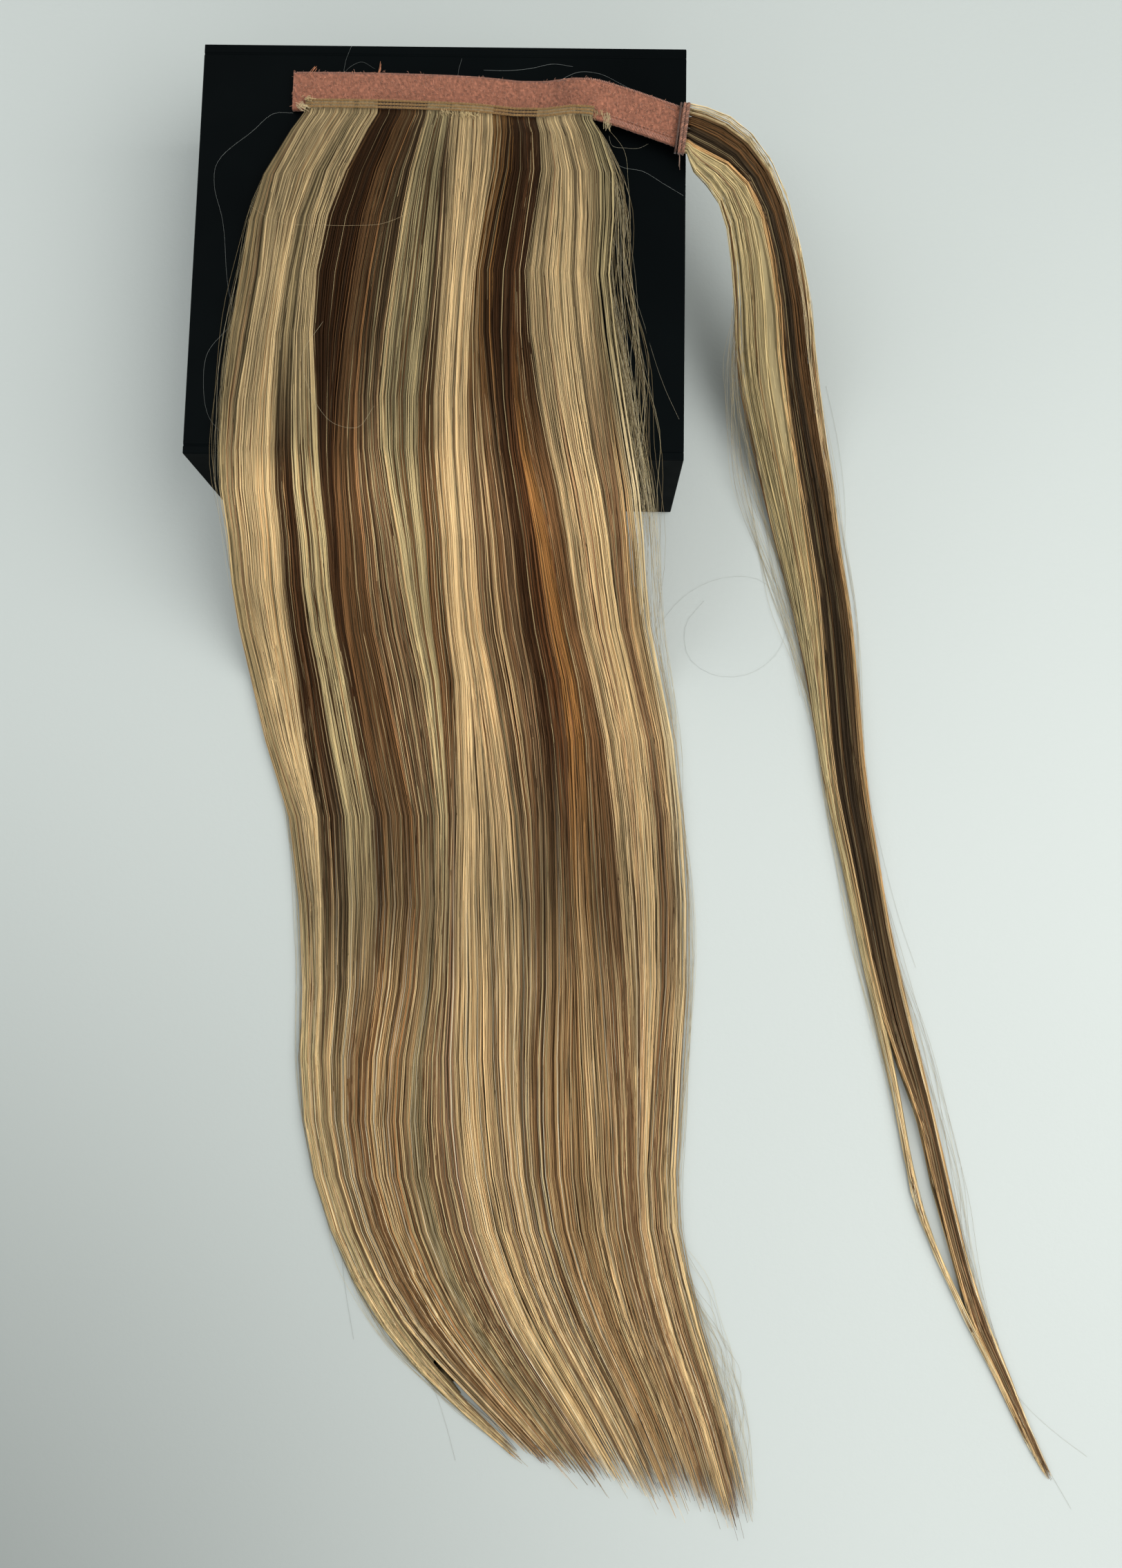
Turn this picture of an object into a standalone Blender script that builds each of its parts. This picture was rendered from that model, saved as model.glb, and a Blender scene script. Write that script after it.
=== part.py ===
"""A wrap-round ponytail hairpiece lying over the closed box that carries it.

Metres, +Z up. The origin is the middle of the box's base, +X runs along the fastening band from its
raw end to its free end, and the hair runs towards -Y, over the box's front edge and down to the table.
The tables are in millimetres.
"""

import math
from collections import namedtuple

import bmesh
import bpy
import numpy as np

MM = 0.001
GAP = 0.3

# The box: a tray inside a lid that wraps over its front and back.
BOX_X = 196.0
BOX_Y = 173.0
BOX_H = 60.0
BOARD = 2.0
LID_OVERHANG = 0.6
FLAP_LIFT = 1.0
CREASE_DEPTH = 0.5
CREASE_HALF = 0.6
FRONT_CREASE = 3.5
BACK_CREASE = 4.0
BOARD_ROUND = 0.4

# The fastening band: loop tape of a standard width.
TAPE_WIDTH = 16.0
TAPE_THICK = 1.7
TAPE_ROUND = 0.4
PATCH_WIDTH = 13.0
PATCH_THICK = 1.2
PATCH_FROM = 0.82
PATCH_TO = 0.955

# The sewn track along the band's lower edge.
WEFT_WIDTH = 4.4
WEFT_THICK = 2.0
WEFT_OFFSET = -6.5
WEFT_FROM = 0.036
WEFT_TO = 0.775
WEFT_RIDGES = 3

# The thread binding across the band's free end.
BINDING_START = (97.3, 58.6)
BINDING_END = (95.0, 38.0)
BINDING_WIDTH = 4.2
BINDING_THICK = 2.6
BINDING_RIDGES = 3

# The hair.
TABLE_CLEARANCE = 0.3
DRAPE_START = -95.0
DRAPE_LENGTH = 74.0
WEFT_BLEND = 0.06
HAIR_ROWS = 38
WRAP_ROWS = 30
LOCK_STEPS = 4
GROOVE_SHARE = 0.34
TIP_SHARE = 0.2
TIP_LEAST_ROWS = 3
GROOVE_SWAY = 0.25
CURTAIN_DRIFT = 0.3

# The band's middle line from above, and how far its underside stands over the lid.
BandPoint = namedtuple("BandPoint", "x y lift")
BAND_LINE = (
    BandPoint(-60.6, 64.9, GAP),
    BandPoint(-39.6, 65.0, GAP),
    BandPoint(-11.6, 64.6, GAP),
    BandPoint(16.3, 63.4, GAP),
    BandPoint(30.0, 62.0, GAP),
    BandPoint(41.0, 60.9, 1.8),
    BandPoint(52.5, 60.4, 4.6),
    BandPoint(60.0, 59.9, 4.8),
    BandPoint(68.0, 58.0, 4.2),
    BandPoint(82.9, 52.9, 4.2),
    BandPoint(95.6, 48.2, 4.2),
)

# Sections across the main hair, from the weft to the tips: both edges from above, and the thickness.
HairSection = namedtuple("HairSection", "left_x left_y right_x right_y thick")
HAIR_SECTIONS = (
    HairSection(-55.0, 56.0, 66.0, 49.5, 4.6),
    HairSection(-63.2, 43.4, 67.7, 43.0, 6.0),
    HairSection(-72.7, 21.1, 70.5, 24.1, 7.0),
    HairSection(-77.7, -14.0, 68.5, -12.0, 7.6),
    HairSection(-81.7, -54.1, 73.1, -51.9, 7.8),
    HairSection(-82.3, -86.5, 78.3, -85.5, 7.6),
    HairSection(-81.0, -111.3, 82.7, -109.4, 7.2),
    HairSection(-84.8, -138.8, 87.4, -136.6, 7.2),
    HairSection(-81.9, -169.2, 95.7, -166.4, 7.4),
    HairSection(-63.9, -223.1, 103.3, -220.2, 7.6),
    HairSection(-55.5, -281.7, 106.3, -278.7, 7.8),
    HairSection(-53.1, -344.6, 103.5, -341.5, 7.6),
    HairSection(-40.9, -389.5, 102.7, -385.3, 7.2),
    HairSection(-19.8, -428.0, 112.3, -427.4, 6.4),
    HairSection(8.0, -457.3, 124.2, -464.2, 5.2),
    HairSection(36.1, -480.4, 134.9, -506.6, 3.6),
)

# Locks from left to right: share of the width, height of the crown as a share of the thickness, the
# last row in which the groove on the lock's right is shut, and the row in which the lock ends.
Lock = namedtuple("Lock", "share crown parted ends")
HAIR_LOCKS = (
    Lock(0.7, 0.62, 32, 36),
    Lock(1.1, 0.84, 34, 38),
    Lock(0.9, 0.95, 31, 37),
    Lock(1.2, 0.90, 34, 38),
    Lock(1.0, 1.00, 33, 37),
    Lock(1.3, 0.92, 32, 38),
    Lock(0.8, 1.00, 33, 37),
    Lock(1.1, 0.94, 34, 38),
    Lock(1.2, 1.00, 32, 38),
    Lock(0.9, 0.90, 34, 37),
    Lock(1.1, 0.96, 31, 38),
    Lock(1.0, 0.86, 34, 38),
    Lock(0.8, 0.78, 32, 38),
    Lock(0.6, 0.60, 32, 36),
)
WRAP_LOCKS = (
    Lock(1.0, 0.80, 22, 27),
    Lock(1.2, 1.00, 25, 29),
    Lock(1.0, 0.90, 24, 30),
    Lock(0.7, 0.75, 24, 28),
)

# Sections across the wrap lock: its middle, its width and thickness, the width's direction in
# degrees from +X, and the share of the thickness that hangs below the middle.
WrapSection = namedtuple("WrapSection", "x y z width thick turn belly")
WRAP_SECTIONS = (
    WrapSection(99.1, 48.0, 65.2, 20.0, 4.6, 83.6, 0.5),
    WrapSection(106.2, 42.9, 65.0, 25.5, 7.0, 62.0, 0.5),
    WrapSection(115.5, 35.8, 63.0, 27.0, 8.5, 48.0, 0.5),
    WrapSection(124.3, 24.6, 59.0, 26.0, 9.0, 29.0, 0.5),
    WrapSection(129.6, 13.6, 53.0, 27.0, 9.0, 15.0, 0.5),
    WrapSection(134.2, 0.3, 43.0, 29.5, 9.0, 5.0, 0.5),
    WrapSection(137.5, -11.8, 33.5, 31.5, 9.0, 4.0, 0.5),
    WrapSection(140.1, -27.4, 23.0, 33.0, 9.0, 3.0, 0.5),
    WrapSection(144.3, -42.6, 14.5, 32.5, 8.6, 4.0, 0.4),
    WrapSection(148.7, -58.5, 7.4, 31.0, 8.2, 4.0, 0.25),
    WrapSection(153.3, -76.3, 2.6, 29.4, 8.0, 6.0, 0.1),
    WrapSection(157.7, -97.6, 0.3, 26.6, 7.6, 7.0, 0.0),
    WrapSection(164.7, -133.9, 0.3, 23.3, 7.2, 8.0, 0.0),
    WrapSection(169.5, -170.2, 0.3, 19.6, 6.8, 9.0, 0.0),
    WrapSection(173.8, -205.9, 0.3, 16.8, 6.4, 10.0, 0.0),
    WrapSection(180.2, -241.1, 0.3, 14.4, 5.8, 11.0, 0.0),
    WrapSection(186.5, -276.0, 0.3, 13.4, 5.2, 12.0, 0.0),
    WrapSection(194.0, -309.8, 0.3, 13.8, 4.8, 12.0, 0.0),
    WrapSection(201.5, -343.5, 0.3, 14.6, 4.4, 13.0, 0.0),
    WrapSection(208.2, -376.5, 0.3, 15.6, 4.0, 15.0, 0.0),
    WrapSection(217.0, -404.6, 0.3, 11.0, 3.4, 16.0, 0.0),
    WrapSection(228.0, -431.5, 0.3, 7.4, 2.8, 18.0, 0.0),
    WrapSection(238.2, -452.7, 0.3, 5.0, 2.2, 20.0, 0.0),
    WrapSection(244.5, -468.6, 0.3, 3.6, 1.8, 21.0, 0.0),
    WrapSection(254.0, -486.0, 0.3, 2.2, 1.2, 22.0, 0.0),
)

# Colour, roughness and metallic value of each material.
FINISHES = {
    "box_paper": ((0.007, 0.010, 0.012), 0.62, 0.0),
    "box_inside": ((0.016, 0.018, 0.020), 0.75, 0.0),
    "loop_tape": ((0.42, 0.18, 0.15), 0.95, 0.0),
    "hook_tape": ((0.46, 0.24, 0.20), 0.70, 0.0),
    "sewn_track": ((0.42, 0.27, 0.12), 0.80, 0.0),
    "thread": ((0.40, 0.22, 0.17), 0.85, 0.0),
    "blonde_hair": ((0.50, 0.34, 0.17), 0.42, 0.0),
    "brown_hair": ((0.22, 0.13, 0.08), 0.42, 0.0),
}


def clear_scene():
    """Removes whatever the scene holds."""
    for obj in list(bpy.data.objects):
        bpy.data.objects.remove(obj, do_unlink=True)


def finish(name):
    """The Principled material of this name."""
    material = bpy.data.materials.get(name)
    if material:
        return material
    colour, roughness, metallic = FINISHES[name]
    material = bpy.data.materials.new(name)
    material.use_nodes = True
    shader = material.node_tree.nodes["Principled BSDF"]
    shader.inputs["Base Color"].default_value = (*colour, 1.0)
    shader.inputs["Roughness"].default_value = roughness
    shader.inputs["Metallic"].default_value = metallic
    return material


def add_object(name, points, faces, material, smooth=True):
    """A named object from points in millimetres, with its faces turned outwards."""
    mesh = bpy.data.meshes.new(name)
    mesh.from_pydata([tuple(float(c) * MM for c in p) for p in points], [], faces)
    shape = bmesh.new()
    shape.from_mesh(mesh)
    bmesh.ops.recalc_face_normals(shape, faces=shape.faces)
    if shape.calc_volume(signed=True) < 0:
        bmesh.ops.reverse_faces(shape, faces=shape.faces)
    shape.to_mesh(mesh)
    shape.free()
    if smooth:
        mesh.shade_smooth()
    mesh.materials.append(finish(material))
    obj = bpy.data.objects.new(name, mesh)
    bpy.context.scene.collection.objects.link(obj)
    return obj


def loft(rings):
    """Points and faces of a closed solid through closed rings of equal length, capped at both ends."""
    count = len(rings[0])
    points = [p for ring in rings for p in ring]
    faces = [tuple(range(count)), tuple(len(points) - count + i for i in range(count))]
    for low in range(0, len(points) - count, count):
        for i in range(count):
            j = (i + 1) % count
            faces.append((low + i, low + j, low + count + j, low + count + i))
    return points, faces


def smooth_table(rows, places):
    """The table read at places from 0, its first row, to 1, its last, along Catmull-Rom curves."""
    rows = np.array(rows, float)
    steps = np.linalg.norm(np.diff(rows[:, :2], axis=0), axis=1)
    at = np.concatenate([[0.0], np.cumsum(steps)])
    at /= at[-1]
    slopes = np.gradient(rows, at, axis=0)
    places = np.clip(np.atleast_1d(places), 0.0, 1.0)
    seg = np.clip(np.searchsorted(at, places, side="right") - 1, 0, len(rows) - 2)
    span = (at[seg + 1] - at[seg])[:, None]
    t = ((places - at[seg])[:, None]) / span
    return (
        rows[seg] * (2 * t**3 - 3 * t**2 + 1)
        + slopes[seg] * span * (t**3 - 2 * t**2 + t)
        + rows[seg + 1] * (3 * t**2 - 2 * t**3)
        + slopes[seg + 1] * span * (t**3 - t**2)
    )


def ease(t):
    """0 to 1 with level ends."""
    t = min(max(t, 0.0), 1.0)
    return t * t * (3.0 - 2.0 * t)


def band_stations(start, end, count):
    """Places along the band: middle x, middle y, underside z, and the direction across in plan."""
    places = np.linspace(start, end, count)
    here = smooth_table(BAND_LINE, places)
    ahead = smooth_table(BAND_LINE, places + 0.004)
    behind = smooth_table(BAND_LINE, places - 0.004)
    run = (ahead - behind)[:, :2]
    run /= np.linalg.norm(run, axis=1)[:, None]
    lift = np.interp(here[:, 0], [p.x for p in BAND_LINE], [p.lift for p in BAND_LINE])
    return [
        (x, y, BOX_H + z, -ry, rx)
        for (x, y), z, (rx, ry) in zip(here[:, :2], lift, run)
    ]


def swept_strip(stations, outline):
    """A strip along stations, with its outline given as (across, up) from each station."""
    rings = [
        [(x + ax * across, y + ay * across, z + up) for across, up in outline]
        for x, y, z, ax, ay in stations
    ]
    return loft(rings)


def flat_outline(width, thick, middle, rise, corner):
    """A flat strip's section with its corners cut, anticlockwise from its lower right."""
    low, high = middle - width / 2, middle + width / 2
    return [
        (low + corner, rise),
        (high - corner, rise),
        (high, rise + corner),
        (high, rise + thick - corner),
        (high - corner, rise + thick),
        (low + corner, rise + thick),
        (low, rise + thick - corner),
        (low, rise + corner),
    ]


def ridged_outline(width, thick, middle, rise, ridges):
    """A sewn strip's section: flat below, with one rounded ridge above for each row of thread."""
    outline = [(middle + width / 2, rise), (middle + width / 2, rise + thick * 0.55)]
    for ridge in range(ridges):
        centre = middle + width / 2 - width * (ridge + 0.5) / ridges
        outline.append((centre + width * 0.22 / ridges, rise + thick))
        outline.append((centre - width * 0.22 / ridges, rise + thick))
        if ridge < ridges - 1:
            outline.append((centre - width * 0.5 / ridges, rise + thick * 0.72))
    outline += [(middle - width / 2, rise + thick * 0.55), (middle - width / 2, rise)]
    return outline


def build_box():
    """The tray, open at its top, and the lid that wraps over its front and back."""
    half_x = BOX_X / 2 - LID_OVERHANG
    half_y = BOX_Y / 2 - BOARD - GAP
    top = BOX_H - BOARD - GAP

    def ring(inset, z):
        x, y = half_x - inset, half_y - inset
        return [(-x, -y, z), (x, -y, z), (x, y, z), (-x, y, z)]

    rings = [ring(0, 0), ring(0, top), ring(BOARD, top), ring(BOARD, BOARD)]
    add_object("display_box_tray", *loft(rings), "box_inside", smooth=False)

    half = BOX_Y / 2
    profile = [(-half, FLAP_LIFT), (-half, BOX_H)]
    for crease in (-half + FRONT_CREASE, half - BACK_CREASE):
        profile += [
            (crease - CREASE_HALF, BOX_H),
            (crease, BOX_H - CREASE_DEPTH),
            (crease + CREASE_HALF, BOX_H),
        ]
    profile += [
        (half, BOX_H),
        (half, FLAP_LIFT),
        (half - BOARD, FLAP_LIFT),
        (half - BOARD, BOX_H - BOARD),
        (-half + BOARD, BOX_H - BOARD),
        (-half + BOARD, FLAP_LIFT),
    ]
    ends = [[(x, y, z) for y, z in profile] for x in (-BOX_X / 2, BOX_X / 2)]
    lid = add_object("display_box_lid", *loft(ends), "box_paper", smooth=False)
    edge = lid.modifiers.new("board_edges", "BEVEL")
    edge.width = BOARD_ROUND * MM
    edge.segments = 2
    edge.limit_method = "ANGLE"
    edge.angle_limit = math.radians(60)


def build_band():
    """The loop tape, and the hook tape under its free end."""
    tape = flat_outline(TAPE_WIDTH, TAPE_THICK, 0.0, 0.0, TAPE_ROUND)
    solid = swept_strip(band_stations(0.0, 1.0, 45), tape)
    add_object("fastening_band", *solid, "loop_tape", smooth=False)
    patch = flat_outline(PATCH_WIDTH, PATCH_THICK, 0.0, -GAP - PATCH_THICK, TAPE_ROUND / 2)
    solid = swept_strip(band_stations(PATCH_FROM, PATCH_TO, 8), patch)
    add_object("hook_patch", *solid, "hook_tape", smooth=False)


def build_weft():
    """The sewn track on top of the band's lower edge."""
    track = ridged_outline(WEFT_WIDTH, WEFT_THICK, WEFT_OFFSET, TAPE_THICK + GAP, WEFT_RIDGES)
    solid = swept_strip(band_stations(WEFT_FROM, WEFT_TO, 36), track)
    add_object("hair_weft", *solid, "sewn_track")


def build_binding():
    """Bundles of thread across the band's free end, on top of the tape."""
    start, end = np.array(BINDING_START), np.array(BINDING_END)
    run = (end - start) / np.linalg.norm(end - start)
    rise = BOX_H + BAND_LINE[-1].lift + TAPE_THICK + GAP
    stations = [(*(start + (end - start) * t), rise, -run[1], run[0]) for t in np.linspace(0, 1, 7)]
    outline = ridged_outline(BINDING_WIDTH, BINDING_THICK, 0.0, 0.0, BINDING_RIDGES)
    add_object("wrap_binding", *swept_strip(stations, outline), "thread")


def under_hair(y):
    """Height of the hair's underside: on the lid, down over the box's front edge, on the table."""
    fall = ease((DRAPE_START - y) / DRAPE_LENGTH)
    return (BOX_H + GAP) + (TABLE_CLEARANCE - BOX_H - GAP) * fall


def weft_edge(share):
    """The weft's lower edge at a share of its length, with the track's top above it."""
    place = WEFT_FROM + (WEFT_TO - WEFT_FROM) * share
    x, y, z, across_x, across_y = band_stations(place, place, 1)[0]
    out = WEFT_OFFSET - WEFT_WIDTH / 2 - GAP
    return np.array([x + across_x * out, y + across_y * out]), z + TAPE_THICK + WEFT_THICK


def curtain_surface(v, share):
    """Under the main hair, v of the way to its tips and share of the way across: the point, the
    thickness above it, the share of that hanging below it, and how nearly level the top is."""
    section = HairSection(*smooth_table(HAIR_SECTIONS, v)[0])
    spot = np.array([section.left_x, section.left_y]) * (1 - share)
    spot += np.array([section.right_x, section.right_y]) * share
    thick = section.thick * (0.42 + 0.58 * (1.0 - abs(2 * share - 1) ** 2.6))
    level = 1.0 - ease(v / WEFT_BLEND)
    if level > 0:
        sewn, track_top = weft_edge(share)
        spot = spot * (1 - level) + sewn * level
        thick = thick * (1 - level) + (track_top - BOX_H - GAP) * level
    return np.array([*spot, under_hair(spot[1])]), thick, 0.0, level


def wrap_surface(v, share):
    """The same four values for the wrap lock, whose point lies inside it where it hangs free."""
    section = WrapSection(*smooth_table(WRAP_SECTIONS, v)[0])
    along = (share - 0.5) * section.width
    turn = math.radians(section.turn)
    spot = [section.x + math.cos(turn) * along, section.y + math.sin(turn) * along, section.z]
    rounding = 0.35 + 0.65 * math.sqrt(max(0.0, 1.0 - (2 * share - 1) ** 2))
    return np.array(spot), section.thick * rounding, max(section.belly, 0.0), 0.0


def facing(surface, v, share):
    """The sheet's upward normal at v and share."""
    step = 0.004
    along = surface(min(v + step, 1.0), share)[0] - surface(max(v - step, 0.0), share)[0]
    across = surface(v, min(share + step, 1.0))[0] - surface(v, max(share - step, 0.0))[0]
    normal = np.cross(along, across)
    normal /= np.linalg.norm(normal)
    return normal if normal[2] > 0 else -normal


def hair_point(surface, v, share, height, taper):
    """A point of a lock: under it at height 0, and on its crown at height 1."""
    spot, thick, belly, level = surface(v, share)
    if height > 0:
        height += (1 - height) * level
    return spot + facing(surface, v, share) * thick * taper * (height - belly)


def grooves(locks, v, drift):
    """Shares of the width at which the locks meet, which sway a little and drift to the left."""
    edges = np.concatenate([[0.0], np.cumsum([lock.share for lock in locks])])
    edges /= edges[-1]
    sway = GROOVE_SWAY / len(locks) * np.sin(5.0 * v + 2.3 * np.arange(len(edges)))
    sway[0] = sway[-1] = 0.0
    return (edges + sway * ease(3 * v)) ** (1.0 + drift * v * v)


def lock_span(locks, number, row, v, drift):
    """The shares of the width between which a lock lies, drawn in once its neighbours have parted."""
    edges = grooves(locks, v, drift)[number : number + 2]
    ends = locks[number].ends
    inner = [side for side in (number, number + 1) if 0 < side < len(locks)]
    first = min(locks[side - 1].parted for side in inner)
    drawn = []
    for side, edge in zip((number, number + 1), edges):
        shut = locks[side - 1].parted if side in inner else first
        part = max(0.0, (row - shut) / (ends - shut))
        drawn.append(edge + (edges.mean() - edge) * (1.0 - TIP_SHARE) * part**1.2)
    first = min(first, ends - TIP_LEAST_ROWS)
    taper = 1.0 - (1.0 - TIP_SHARE) * ease((row - first) / (ends - first))
    return drawn[0], drawn[1], taper


def fused_locks(locks, rows, surface, drift):
    """Points and faces of one closed solid: locks that share each groove until their tips part."""
    points, faces, index = [], [], {}
    spots = 1.0 - (1.0 - np.linspace(0.0, 1.0, rows + 1)) ** 1.2

    def crown(number, step):
        beside = number - 1 if step == 0 else number + 1
        if step in (0, LOCK_STEPS) and 0 <= beside < len(locks):
            return (1.0 - GROOVE_SHARE) * (locks[number].crown + locks[beside].crown) / 2
        swell = math.sin(math.pi * step / LOCK_STEPS) ** 0.7
        return locks[number].crown * (1.0 - GROOVE_SHARE * (1.0 - swell))

    def vertex(number, row, step, above):
        """The point's number: a groove that is still shut has one point for both its locks."""
        side = number if step == 0 else number + 1
        on_side = step in (0, LOCK_STEPS)
        shut = on_side and 0 < side < len(locks) and row <= locks[side - 1].parted
        key = ("shut", side, row, above) if shut else (number, step, row, above)
        if key not in index:
            index[key] = len(points)
            left, right, taper = lock_span(locks, number, row, spots[row], drift)
            share = left + (right - left) * step / LOCK_STEPS
            height = crown(number, step) if above else 0.0
            points.append(hair_point(surface, spots[row], share, height, taper))
        return index[key]

    for number, lock in enumerate(locks):
        tops = [[vertex(number, row, s, True) for s in range(LOCK_STEPS + 1)] for row in range(lock.ends + 1)]
        unders = [[vertex(number, row, s, False) for s in (0, LOCK_STEPS)] for row in range(lock.ends + 1)]
        left_open = locks[number - 1].parted if number > 0 else 0
        right_open = lock.parted if number < len(locks) - 1 else 0
        for row in range(lock.ends):
            top, top_next, under, under_next = tops[row], tops[row + 1], unders[row], unders[row + 1]
            for i in range(LOCK_STEPS):
                faces.append((top[i], top[i + 1], top_next[i + 1], top_next[i]))
            faces.append((under[1], under[0], under_next[0], under_next[1]))
            if row >= left_open:
                faces.append((top[0], top_next[0], under_next[0], under[0]))
            if row >= right_open:
                faces.append((top[-1], under[1], under_next[1], top_next[-1]))
        for row in (0, lock.ends):
            faces.append((*tops[row], *reversed(unders[row])))
    return points, faces


def build_hair():
    """The main hair and the wrap lock."""
    curtain = fused_locks(HAIR_LOCKS, HAIR_ROWS, curtain_surface, CURTAIN_DRIFT)
    add_object("hair_curtain", *curtain, "blonde_hair")
    wrap = fused_locks(WRAP_LOCKS, WRAP_ROWS, wrap_surface, 0.0)
    add_object("wrap_lock", *wrap, "brown_hair")


clear_scene()
build_box()
build_band()
build_weft()
build_binding()
build_hair()
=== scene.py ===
"""Looks of the wrap-round ponytail hairpiece that lies over its closed box.

Metres, +Z up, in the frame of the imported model: the origin is the middle of the box's base, the band
runs along +X and the hair towards -Y. The tables are in millimetres.
"""

import math
from collections import namedtuple

import bpy
import numpy as np
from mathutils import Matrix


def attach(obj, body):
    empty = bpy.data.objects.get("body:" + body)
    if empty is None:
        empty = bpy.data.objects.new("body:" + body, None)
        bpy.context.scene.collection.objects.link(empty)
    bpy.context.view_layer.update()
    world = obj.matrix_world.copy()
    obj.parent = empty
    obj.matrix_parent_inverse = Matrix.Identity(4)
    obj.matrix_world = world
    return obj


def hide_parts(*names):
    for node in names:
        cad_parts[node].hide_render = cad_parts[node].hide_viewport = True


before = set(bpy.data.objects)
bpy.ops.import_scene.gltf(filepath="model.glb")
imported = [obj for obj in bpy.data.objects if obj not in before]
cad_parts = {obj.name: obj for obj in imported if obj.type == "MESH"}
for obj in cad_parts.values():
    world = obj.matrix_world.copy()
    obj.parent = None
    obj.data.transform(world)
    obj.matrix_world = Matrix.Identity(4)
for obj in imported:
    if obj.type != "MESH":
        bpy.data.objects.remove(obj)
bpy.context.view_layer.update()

MM = 0.001
RNG = np.random.default_rng(11)


def table(columns, *rows):
    """Rows whose values are read by the names of their columns."""
    row_kind = namedtuple("Row", columns)
    return tuple(row_kind(*row) for row in rows)


# Sizes shared with the solids.
BOX_H = 60.0
GAP = 0.3
TAPE_WIDTH = 16.0
TAPE_THICK = 1.7
WEFT_WIDTH = 4.4
WEFT_THICK = 2.0
WEFT_OFFSET = -6.5
WEFT_FROM = 0.036
WEFT_TO = 0.775
TABLE_CLEARANCE = 0.3
DRAPE_START = -95.0
DRAPE_LENGTH = 74.0

# The band's middle line from above, and how far its underside stands over the lid.
BAND_LINE = table(
    "x y lift",
    (-60.6, 64.9, GAP),
    (-39.6, 65, GAP),
    (-11.6, 64.6, GAP),
    (16.3, 63.4, GAP),
    (30, 62, GAP),
    (41, 60.9, 1.8),
    (52.5, 60.4, 4.6),
    (60, 59.9, 4.8),
    (68, 58, 4.2),
    (82.9, 52.9, 4.2),
    (95.6, 48.2, 4.2),
)

# Sections across the main hair, from the weft to the tips: both edges from above, and the thickness.
HAIR_SECTIONS = table(
    "left_x left_y right_x right_y thick",
    (-55, 56, 66, 49.5, 4.6),
    (-63.2, 43.4, 67.7, 43, 6),
    (-72.7, 21.1, 70.5, 24.1, 7),
    (-77.7, -14, 68.5, -12, 7.6),
    (-81.7, -54.1, 73.1, -51.9, 7.8),
    (-82.3, -86.5, 78.3, -85.5, 7.6),
    (-81, -111.3, 82.7, -109.4, 7.2),
    (-84.8, -138.8, 87.4, -136.6, 7.2),
    (-81.9, -169.2, 95.7, -166.4, 7.4),
    (-63.9, -223.1, 103.3, -220.2, 7.6),
    (-55.5, -281.7, 106.3, -278.7, 7.8),
    (-53.1, -344.6, 103.5, -341.5, 7.6),
    (-40.9, -389.5, 102.7, -385.3, 7.2),
    (-19.8, -428, 112.3, -427.4, 6.4),
    (8, -457.3, 124.2, -464.2, 5.2),
    (36.1, -480.4, 134.9, -506.6, 3.6),
)

# Sections across the wrap lock: its middle, its width and thickness, the width's direction in
# degrees from +X, and the share of the thickness that hangs below the middle.
WRAP_SECTIONS = table(
    "x y z width thick turn belly",
    (99.1, 48, 65.2, 20, 4.6, 83.6, 0.5),
    (106.2, 42.9, 65, 25.5, 7, 62, 0.5),
    (115.5, 35.8, 63, 27, 8.5, 48, 0.5),
    (124.3, 24.6, 59, 26, 9, 29, 0.5),
    (129.6, 13.6, 53, 27, 9, 15, 0.5),
    (134.2, 0.3, 43, 29.5, 9, 5, 0.5),
    (137.5, -11.8, 33.5, 31.5, 9, 4, 0.5),
    (140.1, -27.4, 23, 33, 9, 3, 0.5),
    (144.3, -42.6, 14.5, 32.5, 8.6, 4, 0.4),
    (148.7, -58.5, 7.4, 31, 8.2, 4, 0.25),
    (153.3, -76.3, 2.6, 29.4, 8, 6, 0.1),
    (157.7, -97.6, 0.3, 26.6, 7.6, 7, 0),
    (164.7, -133.9, 0.3, 23.3, 7.2, 8, 0),
    (169.5, -170.2, 0.3, 19.6, 6.8, 9, 0),
    (173.8, -205.9, 0.3, 16.8, 6.4, 10, 0),
    (180.2, -241.1, 0.3, 14.4, 5.8, 11, 0),
    (186.5, -276, 0.3, 13.4, 5.2, 12, 0),
    (194, -309.8, 0.3, 13.8, 4.8, 12, 0),
    (201.5, -343.5, 0.3, 14.6, 4.4, 13, 0),
    (208.2, -376.5, 0.3, 15.6, 4, 15, 0),
    (217, -404.6, 0.3, 11, 3.4, 16, 0),
    (228, -431.5, 0.3, 7.4, 2.8, 18, 0),
    (238.2, -452.7, 0.3, 5, 2.2, 20, 0),
    (244.5, -468.6, 0.3, 3.6, 1.8, 21, 0),
    (254, -486, 0.3, 2.2, 1.2, 22, 0),
)

# Hair tones by name.
TONES = {
    "dark": "#402815",
    "deep_ash": "#443627",
    "dark_ash": "#58452f",
    "brown": "#6d4e30",
    "ash_brown": "#866849",
    "red_brown": "#6b4426",
    "amber": "#94693a",
    "tan": "#b08e61",
    "ash": "#9c8a65",
    "ash_blonde": "#c6b487",
    "blonde": "#d8bf90",
    "golden": "#e6ca98",
    "light_gold": "#dcc9a0",
    "beige": "#bfa377",
    "mauve": "#9b7c61",
    "pale": "#e8dcbc",
}

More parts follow.
